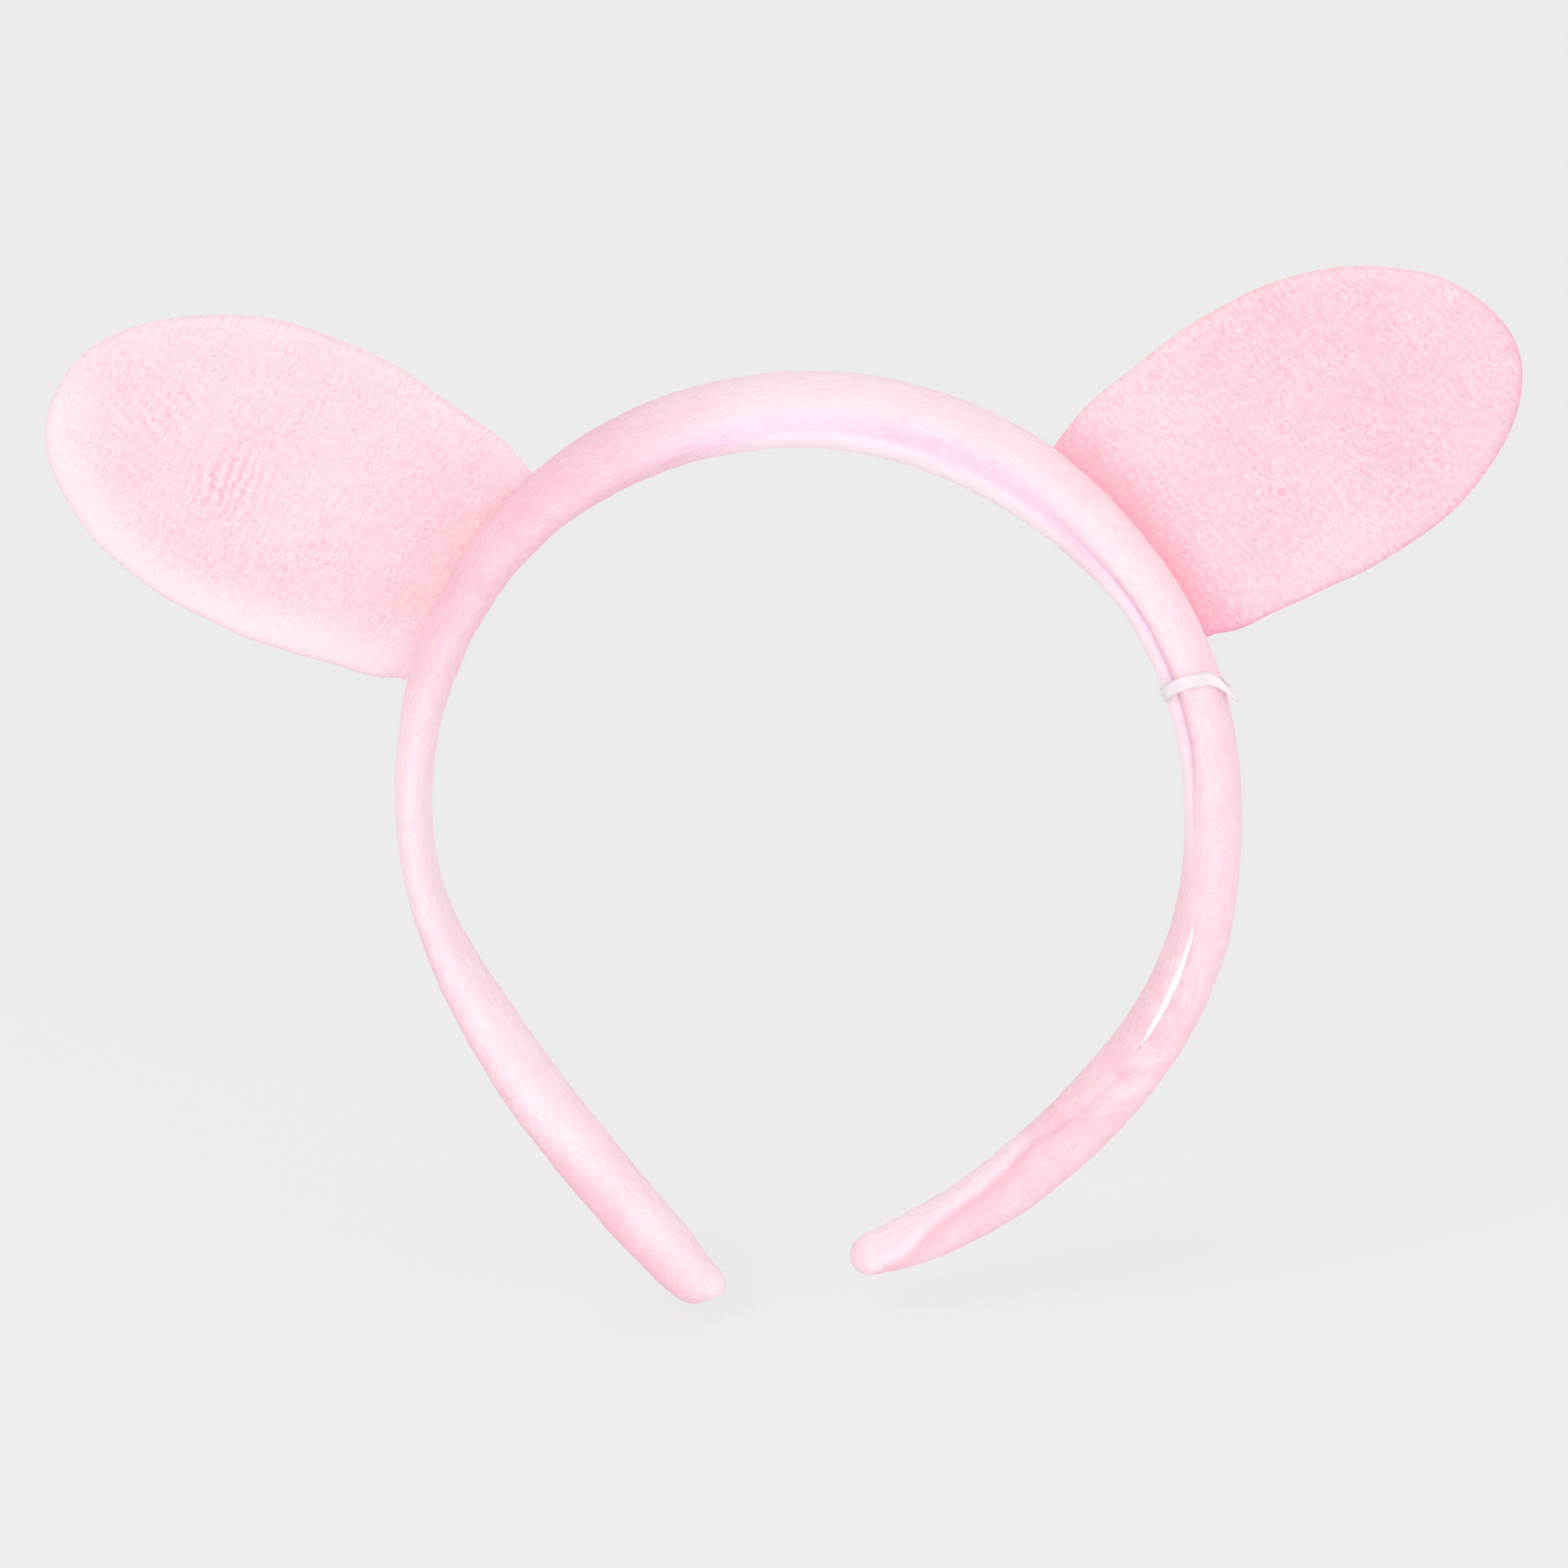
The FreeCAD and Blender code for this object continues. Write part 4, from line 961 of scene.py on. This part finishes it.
    # painted light and shade: the left ear is painted lighter at the root against the band's shade, the right ear
    # darker there as the band shades it; painted sheen lightens the rims, most round the lower edge, with painted
    # lavender light there; the right ear is also darker overall and further up, with a thin darker line at its lower
    # rim
    low = smooth(0.44, 0.60, tau)
    if side == "left":
        tone_f = 0.75 * (1 - smooth(0, 9, up)) + 1.35 * low * (1 - smooth(0.0, 10.0, dist)) * smooth(-1, 6, up) + 0.30 * (1 - low) * np.exp(-dist / 2.0)
        cool_f = 0.60 * low * np.exp(-dist / 1.2) + 0.05
    else:
        tone_f = -0.88 * (1 - smooth(0.5, 9.5, up)) - 0.22 - 0.22 * smooth(20, 45, up) + 0.30 * low * np.exp(-dist / 6.0) - 0.75 * low * np.exp(-dist / 0.9) + 0.25 * (1 - low) * np.exp(-dist / 2.2)
        cool_f = 1.3 * low * np.exp(-dist / 1.8) + 0.05
    tone_f = tone_f + 0.14 * lump + 0.10 * ripple + 0.55 * ruff
    # back: painted shade darker at the root, painted sheen lighter near the edges, painted lavender light at the edges,
    # with random lumps
    tone_b = -0.9 * (1 - smooth(0, 10, up)) + 0.35 * np.exp(-dist / 3.0) + 0.14 * lumpb + 0.10 * ripple
    cool_b = 0.4 * np.exp(-dist / 2.0)
    objs = []
    for name, ys, sgn, tn, cl in (("front", front_y, -1, tone_f, cool_f), ("back", back_y, 1, tone_b, cool_b)):
        outer = np.stack([flat[:, 0], ys, flat[:, 1]], -1)
        innr = np.stack([flat[:, 0], mid, flat[:, 1]], -1)
        W = nu + 1
        N = len(flat)
        idx = lambda i, j: i * W + j
        faces = []
        for i in range(nv):
            for j in range(nu):
                q4 = (idx(i, j), idx(i, j + 1), idx(i + 1, j + 1), idx(i + 1, j))
                faces.append(q4 if sgn > 0 else q4[::-1])
                faces.append(tuple(N + k for k in (q4[::-1] if sgn > 0 else q4)))
        rim = [idx(0, j) for j in range(W)] + [idx(i, nu) for i in range(1, nv + 1)] \
            + [idx(nv, j) for j in range(nu - 1, -1, -1)] + [idx(i, 0) for i in range(nv - 1, 0, -1)]
        for a_, b_ in zip(rim, rim[1:] + rim[:1]):
            faces.append((a_, N + a_, N + b_, b_) if sgn > 0 else (a_, b_, N + b_, N + a_))
        uv = np.stack([up, along], -1)
        ob = new_mesh(side + "_ear_" + name + "_skin", np.vstack([outer, innr]), faces, np.vstack([uv, uv]))
        outward(ob)
        give(ob, M_EAR)
        paint(ob, tone=np.clip(np.r_[tn, tn], -1.7, 1.7), cool=np.clip(np.r_[cl, cl], 0, 1))
        objs.append(ob)
    return objs, A, B, d, n, root_y


def stitch_row(side, A, B):
    """Thread bars that sew the ear's root to the band's back edge, each a small arched strand."""
    sa, sb = sorted((s_near(*A), s_near(*B)))
    sa, sb = sa + 1.0, sb - 1.0
    verts, faces, uvs = [], [], []
    m, k = 14, 9
    for i in range(9):
        s = sa + 1.5 + (sb - sa - 3.0) * i / 8
        p, out, back = (v[0] for v in frames(np.array([s])))
        _, n = line(np.array([s]))
        n = n[0]
        lvl = (back @ n) * width(np.array([s]))[0] / 2
        y = float(rear(np.array([s]))[0]) + 0.05 + 1.2 + 0.27
        t_dir = np.array([n[2], 0, -n[0]])
        c0 = np.array([p[0], 0, p[2]]) + n * lvl
        skew = 0.22 * math.sin(i * 2.3)
        for j in range(m):
            q = j / (m - 1)
            lift = math.sin(math.pi * q)
            c = c0 + n * (-1.0 + 1.6 * q) + np.array([0, 1.0, 0]) * (y - 0.42 + 0.42 * lift) + t_dir * skew * (q - 0.5)
            for h in range(k):
                an = 2 * math.pi * h / k
                rr = 0.25 * (1 + 0.16 * math.cos(2 * an + 9 * q))
                verts.append(c + t_dir * rr * math.cos(an) + np.array([0, 1.0, 0]) * rr * math.sin(an) * (0.6 + 0.4 * lift)
                             + n * rr * math.sin(an) * (0.5 - q) * 0.8)
                uvs.append((q * 2.0, h * 0.2))
        o = i * m * k
        faces += [(o + j * k + h, o + j * k + (h + 1) % k, o + (j + 1) * k + (h + 1) % k, o + (j + 1) * k + h)
                  for j in range(m - 1) for h in range(k)]
        faces += [tuple(o + h for h in range(k))[::-1], tuple(o + (m - 1) * k + h for h in range(k))]
    return outward(new_mesh(side + "_ear_root_thread", np.array(verts), faces, np.array(uvs)))


for side, outline, base, seed in (("left", LEFT_EAR, LEFT_BASE, 2.3), ("right", RIGHT_EAR, RIGHT_BASE, 8.9)):
    (front, back), A, B, d, n, root_y = ear(side, outline, base, seed)
    for ob, extra in ((front, (side + "_ear_front_panel", side + "_ear_filling", side + "_ear_base_tab")),
                      (back, (side + "_ear_back_panel", side + "_ear_edge_seam"))):
        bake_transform(ob)
        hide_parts(*extra)
    thread = stitch_row(side, A, B)
    give(thread, M_THREAD)
    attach(thread, "band")
    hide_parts(side + "_ear_base_stitches")

# ------------------------------------------------------------------ clear loop
def loop_piece():
    n = 260
    r15 = math.radians(15.0)
    th = np.linspace(0, 2 * math.pi, n, endpoint=False)
    a, b = 4.5, 7.3
    w0 = np.degrees((th + 0.22 + math.pi) % (2 * math.pi) - math.pi)
    slack = 1.35 * np.exp(-(w0 / 20.0) ** 2)
    hang = np.exp(-((w0 - 2) / np.where(w0 < 2, 17.0, 75.0)) ** 2)
    front_w = np.degrees((th + math.pi / 2 + math.pi) % (2 * math.pi) - math.pi)
    rise = 2.7 * np.exp(-(front_w / 58.0) ** 2) + 0.9 * np.exp(-(w0 / 50.0) ** 2) - 0.6
    ca, sa = np.cos(th), np.sin(th)
    nx, ny = ca / a, sa / b
    l = np.hypot(nx, ny)
    nx, ny = nx / l, ny / l
    base = np.stack([a * ca, b * sa], -1)
    nrm = np.stack([nx, ny], -1)
    T = 0.20
    rows = []
    prof = [(-1.15, 0.0), (-1.15, T), (-0.6, T + 0.05), (0.0, T + 0.07), (0.6, T + 0.05), (1.15, T),
            (1.15, 0.0), (0.6, 0.03), (0.0, 0.05), (-0.6, 0.03)]
    for w_, off in prof:
        # the slack folds over: its lower edge hangs away from the arm
        flare = hang * (0.25 - 0.75 * w_ / 1.15) * 0.55
        k = 0.26 + slack + off + np.clip(flare, -0.15, 2.0)
        q = base + nrm * k[:, None]
        shift = w_ * (1 + 0.15 * hang) + rise - 3.6 * hang + 0.08 * np.sin(3 * th)
        radial = q[:, 0] * math.cos(r15) + q[:, 1] * math.sin(r15)
        y = -q[:, 0] * math.sin(r15) + q[:, 1] * math.cos(r15)
        ang = math.radians(20.0) + shift / ARC[2]
        rows.append(np.stack([ARC[0] + (ARC[2] + radial) * np.cos(ang), y, ARC[1] + (ARC[2] + radial) * np.sin(ang)], -1))
    G = np.stack(rows, 1)
    k = len(prof)
    verts = G.reshape(-1, 3)
    faces = [(i * k + j, i * k + (j + 1) % k, ((i + 1) % n) * k + (j + 1) % k, ((i + 1) % n) * k + j)
             for i in range(n) for j in range(k)]
    uv = np.stack([np.broadcast_to((th * 6)[:, None], (n, k)), np.broadcast_to(np.array([q[0] for q in prof])[None], (n, k))], -1)
    return outward(new_mesh("clear_loop_film", verts, faces, uv.reshape(-1, 2)))


loop = loop_piece()
give(loop, M_FILM)
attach(loop, "loop")
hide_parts("clear_loop")

# ------------------------------------------------------------------ riding
for ob, nodes, slot_name, soft in ((cover, ("band_cover",), "band_plush", True), (lining, ("band_lining",), "pink_lining", True),
                                   (left_wrap, ("left_tip_wrap",), "band_plush", True), (right_wrap, ("right_tip_wrap",), "band_plush", True),
                                   (foam, ("band_padding",), "soft_foam", True), (core, ("band_core",), "strip_plastic", False)):
    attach(ob, "band")
    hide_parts(*nodes)

# ------------------------------------------------------------------ stage, lights, camera
floor_z = -0.0850


def cyclorama():
    prof = [(-1.6, 0)] + [(0.55 + 0.9 * math.sin(t), 0.9 - 0.9 * math.cos(t)) for t in np.linspace(0, math.pi / 2, 24)] + [(1.45, 4.0)]
    verts, faces = [], []
    for x in (-6, 6):
        verts += [(x, y, z + floor_z) for y, z in prof]
    k = len(prof)
    faces = [(j, j + 1, k + j + 1, k + j) for j in range(k - 1)]
    me = bpy.data.meshes.new("floor")
    me.from_pydata(verts, [], faces)
    me.polygons.foreach_set("use_smooth", [True] * len(me.polygons))
    ob = bpy.data.objects.new("floor", me)
    bpy.context.scene.collection.objects.link(ob)
    mat = bpy.data.materials.new("pale_floor")
    mat.use_nodes = True
    b = mat.node_tree.nodes["Principled BSDF"]
    b.inputs["Base Color"].default_value = (FLOOR_ALBEDO,) * 3 + (1,)
    b.inputs["Roughness"].default_value = 0.95
    b.inputs["Specular IOR Level"].default_value = 0.0
    b.inputs["Emission Color"].default_value = (1, 1, 1, 1)
    b.inputs["Emission Strength"].default_value = FLOOR_GLOW
    ob.data.materials.append(mat)
    return ob


FLOOR_ALBEDO, FLOOR_GLOW = 0.30, 0.565      # a softly lit table and sweep
floor = cyclorama()

world = bpy.context.scene.world or bpy.data.worlds.new("world")
bpy.context.scene.world = world
world.use_nodes = True
bg = world.node_tree.nodes.get("Background")
bg.inputs[0].default_value = (1.0, 1.0, 1.0, 1)
bg.inputs[1].default_value = 0.74


def area(name, loc, target, size, power, color=(1, 1, 1)):
    li = bpy.data.lights.new(name, "AREA")
    li.energy, li.size, li.color = power, size, color
    ob = bpy.data.objects.new(name, li)
    ob.location = loc
    ob.rotation_mode = "QUATERNION"
    ob.rotation_quaternion = (Vector(target) - Vector(loc)).to_track_quat("-Z", "Y")
    ob.visible_camera = False
    bpy.context.scene.collection.objects.link(ob)
    return ob


area("key", (-0.9, -1.3, 1.2), (0, 0, 0), 1.0, 8.8)
area("fill", (1.2, -1.5, 0.5), (0, 0, 0), 1.2, 5.0)
area("front", (0.1, -1.9, 0.25), (0, 0, 0), 1.4, 4.7)
area("low", (0.25, -0.40, -0.055), (0.0, 0, 0.01), 0.22, 0.26, (0.95, 0.88, 1.0))

cam = bpy.data.cameras.new("camera")
cam.lens, cam.sensor_width = 85.0, 36.0
cam.clip_start, cam.clip_end = 0.05, 20
camera = bpy.data.objects.new("camera", cam)
bpy.context.scene.collection.objects.link(camera)
e = math.radians(15.0)
target = Vector((-0.004434, 0, 0.007291))
fwd = Vector((0, math.cos(e), -math.sin(e)))
camera.location = target - fwd * 0.593
camera.rotation_mode = "QUATERNION"
camera.rotation_quaternion = fwd.to_track_quat("-Z", "Y")
bpy.context.scene.camera = camera
bpy.context.scene.view_settings.view_transform = "Standard"
bpy.context.scene.view_settings.look = "None"
